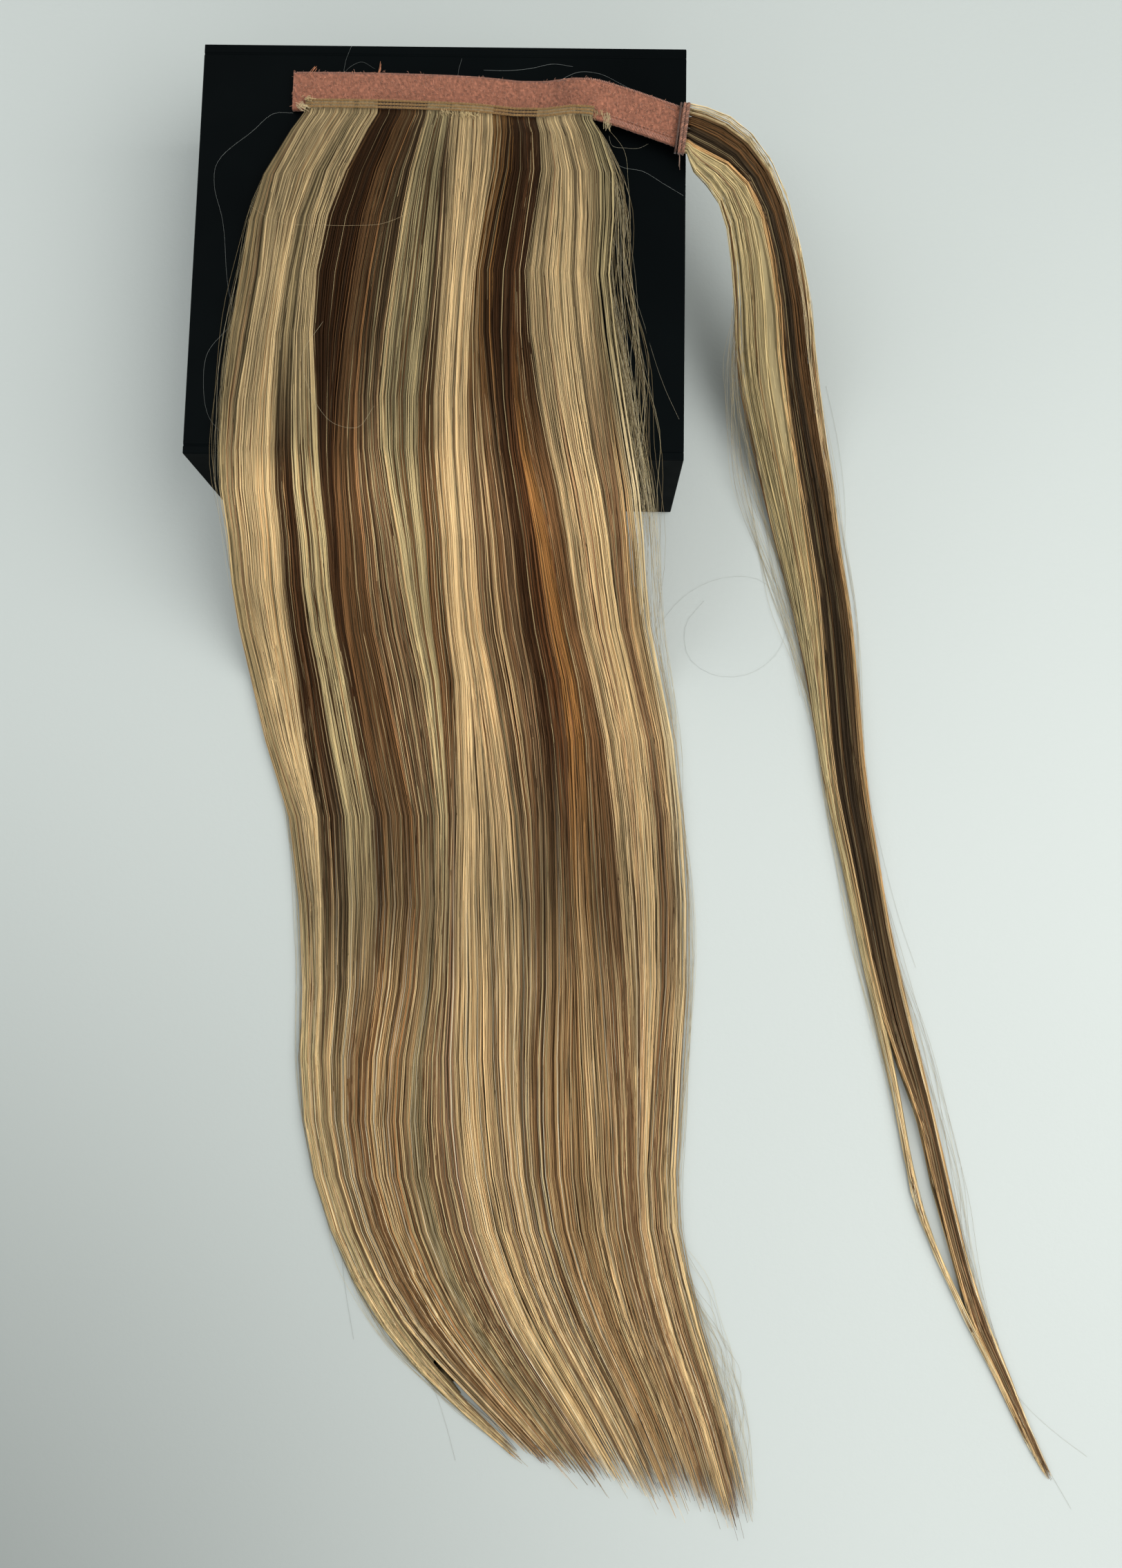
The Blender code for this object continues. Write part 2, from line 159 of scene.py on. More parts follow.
# The main hair's streaks from left to right: tone on the lid, where it comes down and on the table,
# share of stray locks, and the share of the width where the streak ends on its right: at the weft,
# on the lid, at the box's edge, at the floor, in the middle, low down and at the tips.
STREAK_PLACES = (0.02, 0.13, 0.237, 0.355, 0.56, 0.752, 0.89)
STREAKS = table(
    "top middle low stray weft lid edge floor mid lower tips",
    ("ash", "ash", "ash_blonde", 0.35, 0.02, 0.053, 0.035, 0.03, 0.035, 0.03, 0.03),
    ("blonde", "blonde", "ash", 0.20, 0.17, 0.136, 0.14, 0.125, 0.055, 0.05, 0.06),
    ("ash", "dark", "ash", 0.08, 0.18, 0.167, 0.175, 0.172, 0.13, 0.10, 0.11),
    ("blonde", "ash_blonde", "brown", 0.20, 0.25, 0.209, 0.24, 0.24, 0.20, 0.15, 0.16),
    ("dark", "dark", "brown", 0.20, 0.33, 0.312, 0.285, 0.26, 0.22, 0.16, 0.18),
    ("brown", "brown", "tan", 0.35, 0.38, 0.354, 0.335, 0.33, 0.30, 0.23, 0.24),
    ("dark_ash", "ash_brown", "ash", 0.40, 0.42, 0.416, 0.39, 0.42, 0.365, 0.32, 0.32),
    ("ash_blonde", "ash_blonde", "ash_brown", 0.25, 0.50, 0.525, 0.49, 0.476, 0.385, 0.365, 0.37),
    ("dark_ash", "brown", "mauve", 0.30, 0.505, 0.548, 0.52, 0.508, 0.402, 0.40, 0.41),
    ("golden", "golden", "golden", 0.15, 0.57, 0.587, 0.56, 0.54, 0.445, 0.46, 0.47),
    ("golden", "golden", "beige", 0.20, 0.58, 0.598, 0.57, 0.555, 0.50, 0.53, 0.54),
    ("golden", "golden", "golden", 0.18, 0.65, 0.634, 0.605, 0.592, 0.57, 0.58, 0.59),
    ("amber", "ash_brown", "ash_brown", 0.40, 0.70, 0.66, 0.67, 0.686, 0.635, 0.64, 0.65),
    ("dark", "dark", "tan", 0.18, 0.75, 0.733, 0.715, 0.733, 0.695, 0.71, 0.71),
    ("dark", "red_brown", "tan", 0.22, 0.755, 0.738, 0.725, 0.759, 0.71, 0.76, 0.755),
    ("red_brown", "amber", "beige", 0.28, 0.76, 0.746, 0.745, 0.796, 0.765, 0.83, 0.82),
    ("dark", "brown", "ash_brown", 0.25, 0.80, 0.775, 0.79, 0.827, 0.83, 0.88, 0.87),
    ("blonde", "golden", "beige", 0.25, 0.87, 0.894, 0.90, 0.926, 0.925, 0.92, 0.91),
    ("golden", "ash_brown", "ash_brown", 0.30, 0.93, 0.945, 0.945, 0.945, 0.965, 0.95, 0.945),
    ("ash", "beige", "beige", 0.35, 0.95, 0.96, 0.97, 0.978, 0.975, 0.975, 0.98),
    ("ash_blonde", "light_gold", "blonde", 0.10, 1.0, 1.0, 1.0, 1.0, 1.0, 1.0, 1.0),
)

# Tones of stray locks among light, middle and dark ones, and of the locks that mix on the table.
LIGHT_STRAYS = ("tan", "ash", "beige", "ash_brown", "brown")
MIDDLE_STRAYS = ("dark_ash", "brown", "ash_blonde", "beige", "dark")
DARK_STRAYS = ("brown", "brown", "ash_brown", "ash", "dark_ash")
LOW_TONES = ("beige", "ash_brown", "golden", "tan", "brown", "ash_blonde", "dark_ash", "pale")

# Painted light and shade along the main hair's length, from the painted shade at the roots to the tips: a
# painted highlight where it comes down over the box's front edge, and painted shade on the table.
PAINTED_LIGHT_PLACES = (0.0, 0.043, 0.13, 0.21, 0.245, 0.285, 0.355, 0.44, 0.555, 0.655, 0.75, 0.845, 0.92, 1.0)
PAINTED_LIGHT_ALONG_HAIR = (0.40, 0.50, 0.70, 0.62, 0.80, 1.19, 1.05, 1.05, 0.63, 0.98, 0.95, 0.88, 0.86, 0.86)

# The wrap lock's streaks from its inner edge to its outer one, in the same way.
WRAP_PLACES = (0.0, 0.06, 0.13, 0.28, 0.50, 0.75, 1.0)
WRAP_STREAKS = table(
    "top middle low stray root bend fall floor table lower tip",
    ("ash_blonde", "ash_blonde", "blonde", 0.25, 0.15, 0.45, 0.56, 0.46, 0.12, 0.22, 0.15),
    ("tan", "tan", "tan", 0.30, 0.20, 0.50, 0.60, 0.52, 0.20, 0.32, 0.30),
    ("deep_ash", "deep_ash", "ash_brown", 0.15, 0.45, 0.62, 0.72, 0.78, 0.66, 0.55, 0.50),
    ("brown", "dark_ash", "ash_brown", 0.20, 0.78, 0.86, 0.96, 0.965, 0.93, 0.95, 0.93),
    ("light_gold", "tan", "tan", 0.15, 1.0, 1.0, 1.0, 1.0, 1.0, 1.0, 1.0),
)

# Places of a strand's points along the hair, closer together where it bends over the box's edge.
CURTAIN_STATIONS = (
    0.0, 0.012, 0.03, 0.055, 0.09, 0.13, 0.175, 0.22, 0.255, 0.28, 0.305, 0.33, 0.355, 0.39,
    0.44, 0.50, 0.565, 0.625, 0.675, 0.72, 0.76, 0.80, 0.84, 0.88, 0.92, 0.96, 1.0,
)
LAST_SHARED = 0.80

# Numbers of strands and points, the strands' size in millimetres, and shares of light and of mixing.
CURTAIN_PIECES = 4
CLUMPS = 1380
STRANDS_IN_CLUMP = 3
STRAND_RADIUS = 0.122
HAIR_GAIN = 1.32
LOW_MIXTURE = 0.42
WRAP_CLUMPS = 220
WRAP_STATIONS = 30
WRAP_SHADE = 0.84
CORE_ROWS = 80
CORE_CORNERS = 30
# Painted shade on the wrap lock's core.
CORE_PAINTED_SHADE = 0.6
HAIR_WIDTH = 150.0

# Roughness, specular level, darkest and lightest flecks, their stretch and bump: strands and underlay.
STRAND_LOOKS = (0.48, 0.22, 0.86, 1.14, (1, 0.07, 0.05), 0.15)
UNDER_LOOKS = (0.6, 0.15, 0.75, 1.2, (1, 0.05, 0.04), 0.3)

# The band: its loop tape and pile, and the woven ribs along its bare edges.
BAND_LENGTH = 165.0
BAND_STATIONS = 300
PILE_FIBRES = 2300
RIB_STEP = 0.62
TAPE_TONE = "#8b5a46"
PILE_TONE = "#a8755c"
SELVEDGE_TONE = "#a8745f"
SELVEDGES = table(
    "start end low high",
    (0.805, 0.985, -8.15, -6.2),
    (0.74, 0.985, 7.3, 8.15),
    (0.01, 0.74, 7.75, 8.1),
)

# The weft's strip and stitches, and the binding's ends and how light each of its strands is.
WEFT_STATIONS = 240
# Painted shade on the weft's strip, between and under its stitches.
WEFT_PAINTED_SHADE = 0.28
STITCHES = 84
STEPS_IN_STITCH = 5
STITCH_TONE = "#94713e"
BINDING_TOP = (97.3, 58.6)
BINDING_BOTTOM = (95.0, 38.0)
BINDING_TONE = "#835a47"
# The first bundle is darker, partly by its own dark brown and partly by painted shadow.
ROPE_TONE_AND_SHADE = (-1.3, -1.0, -1.2, 0.15, -0.1, 0.3, -0.1, 0.25, -0.3)

# Points on a single hair, and the fringes' tones.
LOOSE_STATIONS = 40
EDGE_STATIONS = 22
EDGE_TONES = ("#dcd0b0", "#cfbf95", "#b8a67e", "#96845f")

# Half the table top's side, and the middle of the painted shadow on it, in metres.
TABLE_HALF = 4.0
PAINTED_SHADOW_CENTRE = (-0.36, -0.72, 0.0)


def linear(code):
    """The linear colour of a web code such as #c9b080."""
    parts = np.array([int(code[i : i + 2], 16) for i in (1, 3, 5)]) / 255.0
    return np.where(parts <= 0.04045, parts / 12.92, ((parts + 0.055) / 1.055) ** 2.4)


def palette():
    """The linear colours of all tones, lightened as light passes through real hair."""
    return np.array([linear(code) for code in TONES.values()]) * HAIR_GAIN


def within_white(colours):
    """Colours darkened, where needed, until none of their parts is too light for a real surface."""
    return colours / np.maximum(colours.max(axis=-1, keepdims=True) / 0.92, 1.0)


def ease(t):
    """0 to 1 with level ends."""
    t = np.clip(t, 0.0, 1.0)
    return t * t * (3.0 - 2.0 * t)


def hermite(low, low_slope, high, high_slope, span, t):
    """A cubic from low to high over span."""
    return (
        low * (2 * t**3 - 3 * t**2 + 1)
        + low_slope * span * (t**3 - 2 * t**2 + t)
        + high * (3 * t**2 - 2 * t**3)
        + high_slope * span * (t**3 - t**2)
    )


def read_table(rows, places):
    """The table read at places from 0, its first row, to 1, its last, along Catmull-Rom curves."""
    rows = np.array(rows, float)
    steps = np.linalg.norm(np.diff(rows[:, :2], axis=0), axis=1)
    at = np.concatenate([[0.0], np.cumsum(steps)])
    at /= at[-1]
    slopes = np.gradient(rows, at, axis=0)
    inside = np.clip(places, 0.0, 1.0)
    seg = np.clip(np.searchsorted(at, inside, side="right") - 1, 0, len(rows) - 2)
    span = (at[seg + 1] - at[seg])[..., None]
    t = (inside - at[seg])[..., None] / span
    value = hermite(rows[seg], slopes[seg], rows[seg + 1], slopes[seg + 1], span, t)
    return value + slopes[-1] * np.maximum(places - 1.0, 0.0)[..., None]


def read_rows(at, values, places):
    """Each row of values, given at the places of at, read at that row's own places."""
    at = np.array(at)
    slopes = np.gradient(values, at, axis=1)
    seg = np.clip(np.searchsorted(at, places, side="right") - 1, 0, len(at) - 2)
    span = at[seg + 1] - at[seg]
    t = np.clip((places - at[seg]) / span, 0.0, 1.0)
    low, high, low_slope, high_slope = (
        np.take_along_axis(grid, column, axis=1) for grid in (values, slopes) for column in (seg, seg + 1)
    )
    return hermite(low, low_slope, high, high_slope, span, t)


def new_object(name, mesh, material, replaced=()):
    """Links a mesh as a piece on the root body."""
    mesh.name = name
    mesh.materials.append(material)
    obj = bpy.data.objects.new(name, mesh)
    bpy.context.scene.collection.objects.link(obj)
    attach(obj, "root")
    if replaced:
        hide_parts(*replaced)


def ring_mesh(rings, colours, uv):
    """A smooth mesh of closed solids, each through rings (count, rows, corners, 3) in millimetres."""
    count, rows, corners = rings.shape[:3]
    index = np.arange(count * rows * corners).reshape(count, rows, corners)
    low, high = index[:, :-1], index[:, 1:]
    quads = np.stack([low, high, np.roll(high, -1, axis=2), np.roll(low, -1, axis=2)], axis=-1)
    caps = np.concatenate([index[:, 0], index[:, -1, ::-1]])
    order = np.concatenate([quads.ravel(), caps.ravel()]).astype(np.int32)
    sizes = np.concatenate([np.full(quads.size // 4, 4), np.full(len(caps), corners)])
    starts = np.concatenate([[0], np.cumsum(sizes)[:-1]]).astype(np.int32)
    mesh = bpy.data.meshes.new("piece")
    mesh.vertices.add(index.size)
    mesh.vertices.foreach_set("co", (rings * MM).astype(np.float32).ravel())
    mesh.loops.add(len(order))
    mesh.loops.foreach_set("vertex_index", order)
    mesh.polygons.add(len(starts))
    mesh.polygons.foreach_set("loop_start", starts)
    mesh.update(calc_edges=True)
    mesh.validate()
    mesh.shade_smooth()
    layer = mesh.color_attributes.new("tone", "FLOAT_COLOR", "POINT")
    full = np.concatenate([colours.reshape(-1, 3), np.ones((index.size, 1))], axis=1)
    layer.data.foreach_set("color", full.astype(np.float32).ravel())
    layer = mesh.uv_layers.new(name="UVMap")
    layer.data.foreach_set("uv", uv.reshape(-1, 2)[order].astype(np.float32).ravel())
    return mesh


def tube_mesh(paths, radii, colours, sides=3):
    """Closed tubes along paths (count, stations, 3), with a colour at each station."""
    count, stations = paths.shape[:2]
    run = np.gradient(paths, axis=1)
    run /= np.linalg.norm(run, axis=2, keepdims=True) + 1e-9
    side = np.cross(run, (0.0, 0.02, 1.0))
    side /= np.linalg.norm(side, axis=2, keepdims=True) + 1e-9
    lift = np.cross(side, run)
    turn = 2 * np.pi * np.arange(sides) / sides + np.pi / 2
    ring = np.cos(turn)[:, None] * side[:, :, None, :] + np.sin(turn)[:, None] * lift[:, :, None, :]
    radii = np.broadcast_to(radii, (count, stations))
    rings = paths[:, :, None, :] + radii[:, :, None, None] * ring
    rank = np.empty(count)
    rank[np.argsort(colours.mean(axis=1).sum(axis=1))] = np.arange(count)
    across = (rank[:, None, None] + 0.2 + 0.6 * np.arange(sides) / (sides - 1)) / count
    along = np.linspace(0.005, 0.995, stations)[None, :, None]
    uv = np.stack(np.broadcast_arrays(across, along), axis=-1)
    return ring_mesh(rings, np.repeat(colours.reshape(-1, 3), sides, axis=0), uv)


def loft_mesh(rings, colours):
    """A closed solid through closed rings (rows, corners, 3), capped at both ends."""
    rows, corners = rings.shape[:2]
    around, along = np.linspace(0, 1, corners), np.linspace(0, 1, rows)[:, None]
    return ring_mesh(rings[None], colours, np.stack(np.broadcast_arrays(around, along), axis=-1))


def node(tree, kind, **values):
    """A shader node with its properties, or its inputs by name, set."""
    made = tree.nodes.new(kind)
    for key, value in values.items():
        if hasattr(made, key):
            setattr(made, key, value)
        else:
            made.inputs[key.replace("_", " ")].default_value = value
    return made


def multiply(tree, first, second):
    """The product of two colours."""
    made = tree.nodes.new("ShaderNodeMix")
    made.data_type = "RGBA"
    made.blend_type = "MULTIPLY"
    made.inputs[0].default_value = 1.0
    tree.links.new(first, made.inputs[6])
    tree.links.new(second, made.inputs[7])
    return made.outputs[2]


def noise(tree, scale, detail, stretch=(1, 1, 1)):
    """The value of a noise of this scale, stretched along the axes."""
    place = tree.nodes.new("ShaderNodeTexCoord")
    mapping = tree.nodes.new("ShaderNodeMapping")
    mapping.inputs["Scale"].default_value = stretch
    tree.links.new(place.outputs["Object"], mapping.inputs["Vector"])
    made = node(tree, "ShaderNodeTexNoise", Scale=scale, Detail=detail)
    tree.links.new(mapping.outputs["Vector"], made.inputs["Vector"])
    return made.outputs["Fac"]


def ramp(tree, value, low, high, start, end, kind="LINEAR"):
    """The value turned into a colour from low at start to high at end."""
    made = tree.nodes.new("ShaderNodeValToRGB")
    made.color_ramp.interpolation = kind
    made.color_ramp.elements[0].position = start
    made.color_ramp.elements[0].color = (*low, 1.0)
    made.color_ramp.elements[1].position = end
    made.color_ramp.elements[1].color = (*high, 1.0)
    tree.links.new(value, made.inputs["Fac"])
    return made.outputs["Color"]


def add_bump(tree, shader, height, strength, distance):
    """Raises the surface by the height's value."""
    bump = node(tree, "ShaderNodeBump", Strength=strength, Distance=distance)
    tree.links.new(height, bump.inputs["Height"])
    tree.links.new(bump.outputs["Normal"], shader.inputs["Normal"])


def new_material(name, roughness, specular):
    """A plain Principled material, with its tree and its shader."""
    made = bpy.data.materials.new(name)
    made.use_nodes = True
    shader = made.node_tree.nodes["Principled BSDF"]
    shader.inputs["Roughness"].default_value = roughness
    shader.inputs["Specular IOR Level"].default_value = specular
    return made, made.node_tree, shader


def toned_material(name, roughness, specular, low, high, scale, stretch=(1, 1, 1), bump=0.0, sheen=0.0):
    """A material that takes the mesh's own tones, with lighter and darker flecks."""
    made, tree, shader = new_material(name, roughness, specular)
    tone = node(tree, "ShaderNodeAttribute", attribute_name="tone")
    flecks = noise(tree, scale, 2.0, stretch)
    shade = ramp(tree, flecks, (low,) * 3, (high,) * 3, 0.3, 0.7)
    colour = multiply(tree, tone.outputs["Color"], shade)
    tree.links.new(colour, shader.inputs["Base Color"])
    shader.inputs["Sheen Weight"].default_value = sheen
    if bump:
        add_bump(tree, shader, flecks, bump, 0.0002)
    return made


def hair_material(name, roughness, specular, low, high, stretch, bump):
    """Fine flecks along the hair over the strands' own tones, with warm highlights."""
    made = toned_material(name, roughness, specular, low, high, 300.0, stretch, bump)
    shader = made.node_tree.nodes["Principled BSDF"]
    shader.inputs["Specular Tint"].default_value = (1.0, 0.82, 0.60, 1.0)
    return made


def paper_material(name, low, high, roughness):
    """Matte black paper: fine fibres, faint clouds and a slightly uneven sheen."""
    made, tree, shader = new_material(name, roughness, 0.03)
    clouds = noise(tree, 18.0, 4.0)
    tree.links.new(ramp(tree, clouds, low, high, 0.3, 0.75), shader.inputs["Base Color"])
    rough = node(tree, "ShaderNodeMapRange", From_Min=0.3, From_Max=0.7)
    rough.inputs["To Min"].default_value = roughness - 0.05
    rough.inputs["To Max"].default_value = roughness + 0.07
    tree.links.new(noise(tree, 60.0, 3.0), rough.inputs["Value"])
    tree.links.new(rough.outputs["Result"], shader.inputs["Roughness"])
    add_bump(tree, shader, noise(tree, 1400.0, 3.0), 0.12, 0.0001)
    return made


# Camera, as the photo was taken: nearly straight down.
PHOTO_HEIGHT = 2270.0
FOCAL_PIXELS = 1650.0
SENSOR = 36.0
camera_data = bpy.data.cameras.new("photo_camera")
camera = bpy.data.objects.new("photo_camera", camera_data)
bpy.context.scene.collection.objects.link(camera)
camera.location = (0.0568, -0.2597, 0.4882)
camera.rotation_euler = [math.radians(a) for a in (6.1, 0.47, 1.03)]
camera_data.sensor_width = SENSOR
camera_data.lens = FOCAL_PIXELS / PHOTO_HEIGHT * SENSOR
camera_data.clip_start = 0.01
camera_data.clip_end = 20.0
bpy.context.scene.camera = camera


def area_light(name, place, aim, size, watts, colour):
    """A soft rectangular light at place that looks at aim."""
    data = bpy.data.lights.new(name, "AREA")
    data.shape = "RECTANGLE"
    data.size, data.size_y = size
    data.energy = watts
    data.color = colour
    lamp = bpy.data.objects.new(name, data)
    bpy.context.scene.collection.objects.link(lamp)
    lamp.location = place
    run = np.array(aim) - np.array(place)
    flat = math.hypot(run[0], run[1])
    lamp.rotation_euler = (math.atan2(flat, -run[2]), 0.0, math.atan2(run[1], run[0]) - math.pi / 2)


area_light("window", (0.88, -0.28, 1.0), (0.05, -0.2, 0.0), (1.0, 1.2), 15.5, (1.0, 0.99, 0.97))
area_light("front", (0.35, -1.5, 0.6), (0.05, -0.25, 0.0), (1.2, 0.6), 6.2, (1.0, 0.99, 0.97))
area_light("room", (-1.1, 0.5, 1.1), (-0.1, 0.0, 0.0), (1.2, 1.2), 10.0, (0.98, 0.99, 1.0))

world = bpy.data.worlds.new("room_light")
world.use_nodes = True
sky = world.node_tree.nodes["Background"]
sky.inputs["Color"].default_value = (0.85, 0.88, 0.875, 1.0)
sky.inputs["Strength"].default_value = 0.52
bpy.context.scene.world = world
bpy.context.scene.view_settings.view_transform = "Standard"
bpy.context.scene.view_settings.look = "None"


def build_floor():
    """A plain pale table top with a very fine grain, and a painted shadow that darkens it towards the front
    left.
    """
    made, tree, shader = new_material("table_top", 0.5, 0.35)
    clouds = ramp(tree, noise(tree, 2.5, 2.0), (0.488, 0.527, 0.510), (0.508, 0.547, 0.530), 0.3, 0.7)
    place = tree.nodes.new("ShaderNodeTexCoord")
    # Painted shadow, darkest round one spot of the table top.
    shadow_distance = node(tree, "ShaderNodeVectorMath", operation="DISTANCE")
    tree.links.new(place.outputs["Object"], shadow_distance.inputs[0])
    shadow_distance.inputs[1].default_value = PAINTED_SHADOW_CENTRE
    painted_shadow = ramp(tree, shadow_distance.outputs["Value"], (0.35, 0.35, 0.35), (1.0, 1.0, 1.0), 0.02, 0.62, "EASE")
    tree.links.new(multiply(tree, clouds, painted_shadow), shader.inputs["Base Color"])
    add_bump(tree, shader, noise(tree, 420.0, 3.0), 0.14, 0.0006)
    half = TABLE_HALF
    mesh = bpy.data.meshes.new("table_top")
    corners = [(-half, -half, 0), (half, -half, 0), (half, half, 0), (-half, half, 0)]
    mesh.from_pydata(corners, [], [(0, 1, 2, 3)])
    mesh.materials.append(made)
    floor = bpy.data.objects.new("table_top", mesh)
    bpy.context.scene.collection.objects.link(floor)
    floor.location.z = -0.0001


def paint_box():
    """Black paper on the box's solids, and the hook tape's own material."""
    paper = paper_material("black_paper", (0.0008, 0.0016, 0.0019), (0.0014, 0.0026, 0.0029), 0.62)
    inside = paper_material("black_lining", (0.008, 0.010, 0.011), (0.014, 0.016, 0.017), 0.62)
    hooks, tree, shader = new_material("hook_tape_weave", 0.55, 0.4)
    weave = tree.nodes.new("ShaderNodeTexWave")
    weave.inputs["Scale"].default_value = 900.0
    place = tree.nodes.new("ShaderNodeTexCoord")
    tree.links.new(place.outputs["Object"], weave.inputs["Vector"])
    colour = ramp(tree, weave.outputs["Fac"], linear("#8d5a4c"), linear("#c08d7c"), 0.2, 0.8)
    tree.links.new(colour, shader.inputs["Base Color"])
    add_bump(tree, shader, weave.outputs["Fac"], 0.6, 0.0003)
    for name, made in (("display_box_lid", paper), ("display_box_tray", inside), ("hook_patch", hooks)):
        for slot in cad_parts[name].material_slots:
            slot.material = made


def band_points(places, across, up):
    """Points on the band, across its middle line and above its underside."""
    here = read_table(BAND_LINE, places)
    ahead = read_table(BAND_LINE, np.minimum(places + 0.004, 1.0))
    run = (ahead - read_table(BAND_LINE, places - 0.004))[..., :2]
    run /= np.linalg.norm(run, axis=-1, keepdims=True)
    lift = np.interp(here[..., 0], [point.x for point in BAND_LINE], [point.lift for point in BAND_LINE])
    x = here[..., 0] - run[..., 1] * across
    y = here[..., 1] + run[..., 0] * across
    return np.stack([x, y, BOX_H + lift + up], axis=-1)


def weft_points(share, across, up):
    """Points along the sewn track, at a share of its length."""
    return band_points(WEFT_FROM + (WEFT_TO - WEFT_FROM) * share, across, up)


def under_hair(y):
    """Height of the hair's underside: on the lid, down over the box's front edge, on the table."""
    return (BOX_H + GAP) + (TABLE_CLEARANCE - BOX_H - GAP) * ease((DRAPE_START - y) / DRAPE_LENGTH)


def soft_waves(share, v):
    """Soft high and low locks across the hair, from about -1 to 1."""
    return (
        0.45 * np.sin(2 * np.pi * (6.3 * share + 0.8 * v))
        + 0.33 * np.sin(2 * np.pi * (13.1 * share - 0.6 * v) + 1.3)
        + 0.22 * np.sin(2 * np.pi * (27.7 * share + 1.1 * v) + 0.4)
    )


def curtain_point(v, share, height):
    """A point of the main hair: v along it, share across it and height in its thickness."""
    section = read_table(HAIR_SECTIONS, v)
    inside = np.clip(share, 0.0, 1.0)
    flat = section[..., 0:2] * (1 - share)[..., None] + section[..., 2:4] * share[..., None]
    thick = section[..., 4] * (0.42 + 0.58 * (1.0 - np.abs(2 * inside - 1) ** 2.6))
    thick *= 0.90 + 0.10 * soft_waves(inside, v)
    under = under_hair(flat[..., 1])
    slope = (under_hair(flat[..., 1] + 1.0) - under_hair(flat[..., 1] - 1.0)) / 2.0
    normal = np.stack([np.zeros_like(slope), -slope, np.ones_like(slope)], axis=-1)
    normal /= np.linalg.norm(normal, axis=-1, keepdims=True)
    spot = np.concatenate([flat, under[..., None]], axis=-1) + normal * (thick * height)[..., None]
    out = WEFT_OFFSET - 1.5 - 1.7 * np.minimum(v / 0.012, 1.0)
    sewn = weft_points(inside, out, TAPE_THICK + GAP + WEFT_THICK * (0.05 + 0.52 * height))
    level = (1.0 - ease(v / 0.055))[..., None]
    return spot * (1 - level) + sewn * level


def streak_edges(streaks):
    """The left and right ends of each streak at its places."""
    ends = np.array([list(streak)[4:] for streak in streaks], float)
    starts = np.vstack([np.zeros(ends.shape[1]), ends[:-1]])
    return starts, ends


def streak_masks(streaks, places, share, v):
    """Each streak with the part of a grid of shares and places along the hair that it covers."""
    for streak, *edges in zip(streaks, *streak_edges(streaks)):
        left, right = (read_rows(places, np.broadcast_to(edge, (len(v), len(places))), v) for edge in edges)
        yield streak, ((share >= left) & (share <= right))[..., None]


def deal_clumps(streaks, clumps, thin_edge=1.0):
    """Each clump's streak and its way across the hair, spread evenly by the streaks' widths."""
    starts, ends = streak_edges(streaks)
    widths = (ends - starts).mean(axis=1)
    widths[-1] *= thin_edge
    bounds = np.concatenate([[0], np.cumsum(widths / widths.sum())])
    spots = (np.arange(clumps) + RNG.uniform(0.05, 0.95, clumps)) / clumps
    streak = np.clip(np.searchsorted(bounds, spots, side="right") - 1, 0, len(streaks) - 1)
    within = (spots - bounds[streak]) / (bounds[streak + 1] - bounds[streak])
    return streak, starts[streak] + (ends - starts)[streak] * within[:, None]


def tone_numbers(names):
    """Where the named tones stand in the palette."""
    return np.array([list(TONES).index(name) for name in names])


def pick_tones(streaks, streak, count):
    """Colours of locks on the lid, coming down and on the table, shape (3, count, 3)."""
    colours = palette()
    tones = np.array([tone_numbers(row[:3]) for row in streaks])[streak].T
    brightness = colours.sum(axis=1)[tones[1]]
    choice = RNG.integers(0, len(LIGHT_STRAYS), count)
    light, middle, dark = (tone_numbers(row)[choice] for row in (LIGHT_STRAYS, MIDDLE_STRAYS, DARK_STRAYS))
    other = np.where(brightness > 0.85, light, np.where(brightness > 0.42, middle, dark))
    share = np.array([row.stray for row in streaks])[streak]
    stray = RNG.random(count) < share * np.array([[0.6], [1.0], [1.0]])
    tones = np.where(stray, other, tones)
    crossed = tone_numbers(LOW_TONES)[RNG.integers(0, len(LOW_TONES), count)]
    tones[2] = np.where(RNG.random(count) < LOW_MIXTURE, crossed, tones[2])
    return colours[tones]


def blend_tones(tones, v, first=(0.15, 0.28), second=(0.44, 0.70)):
    """Each strand's colour at its places v from its three tones."""
    early = ease((v - first[0]) / (first[1] - first[0]))[..., None]
    late = ease((v - second[0]) / (second[1] - second[0]))[..., None]
    upper = tones[0][:, None] * (1 - early) + tones[1][:, None] * early
    return upper * (1 - late) + tones[2][:, None] * late


def strand_tone_and_painted_lines(count):
    """How light each strand is: random tone, with a few pale lines of painted highlight and a few dark
    lines of painted shadow between strands.
    """
    lines = RNG.choice((0.42, 1.0, 1.48), count, p=(0.19, 0.63, 0.18))
    return (lines * np.exp(RNG.normal(0.0, 0.14, count)))[:, None, None]


def waver(v, count, size, waves):
    """A gentle sideways drift of each strand along v, in millimetres."""
    total = np.zeros_like(v)
    for wave in waves:
        turn = RNG.uniform(0, 2 * np.pi, (count, 1))
        total += RNG.normal(0, size / wave**0.7, (count, 1)) * np.sin(2 * np.pi * wave * v + turn)
    return total


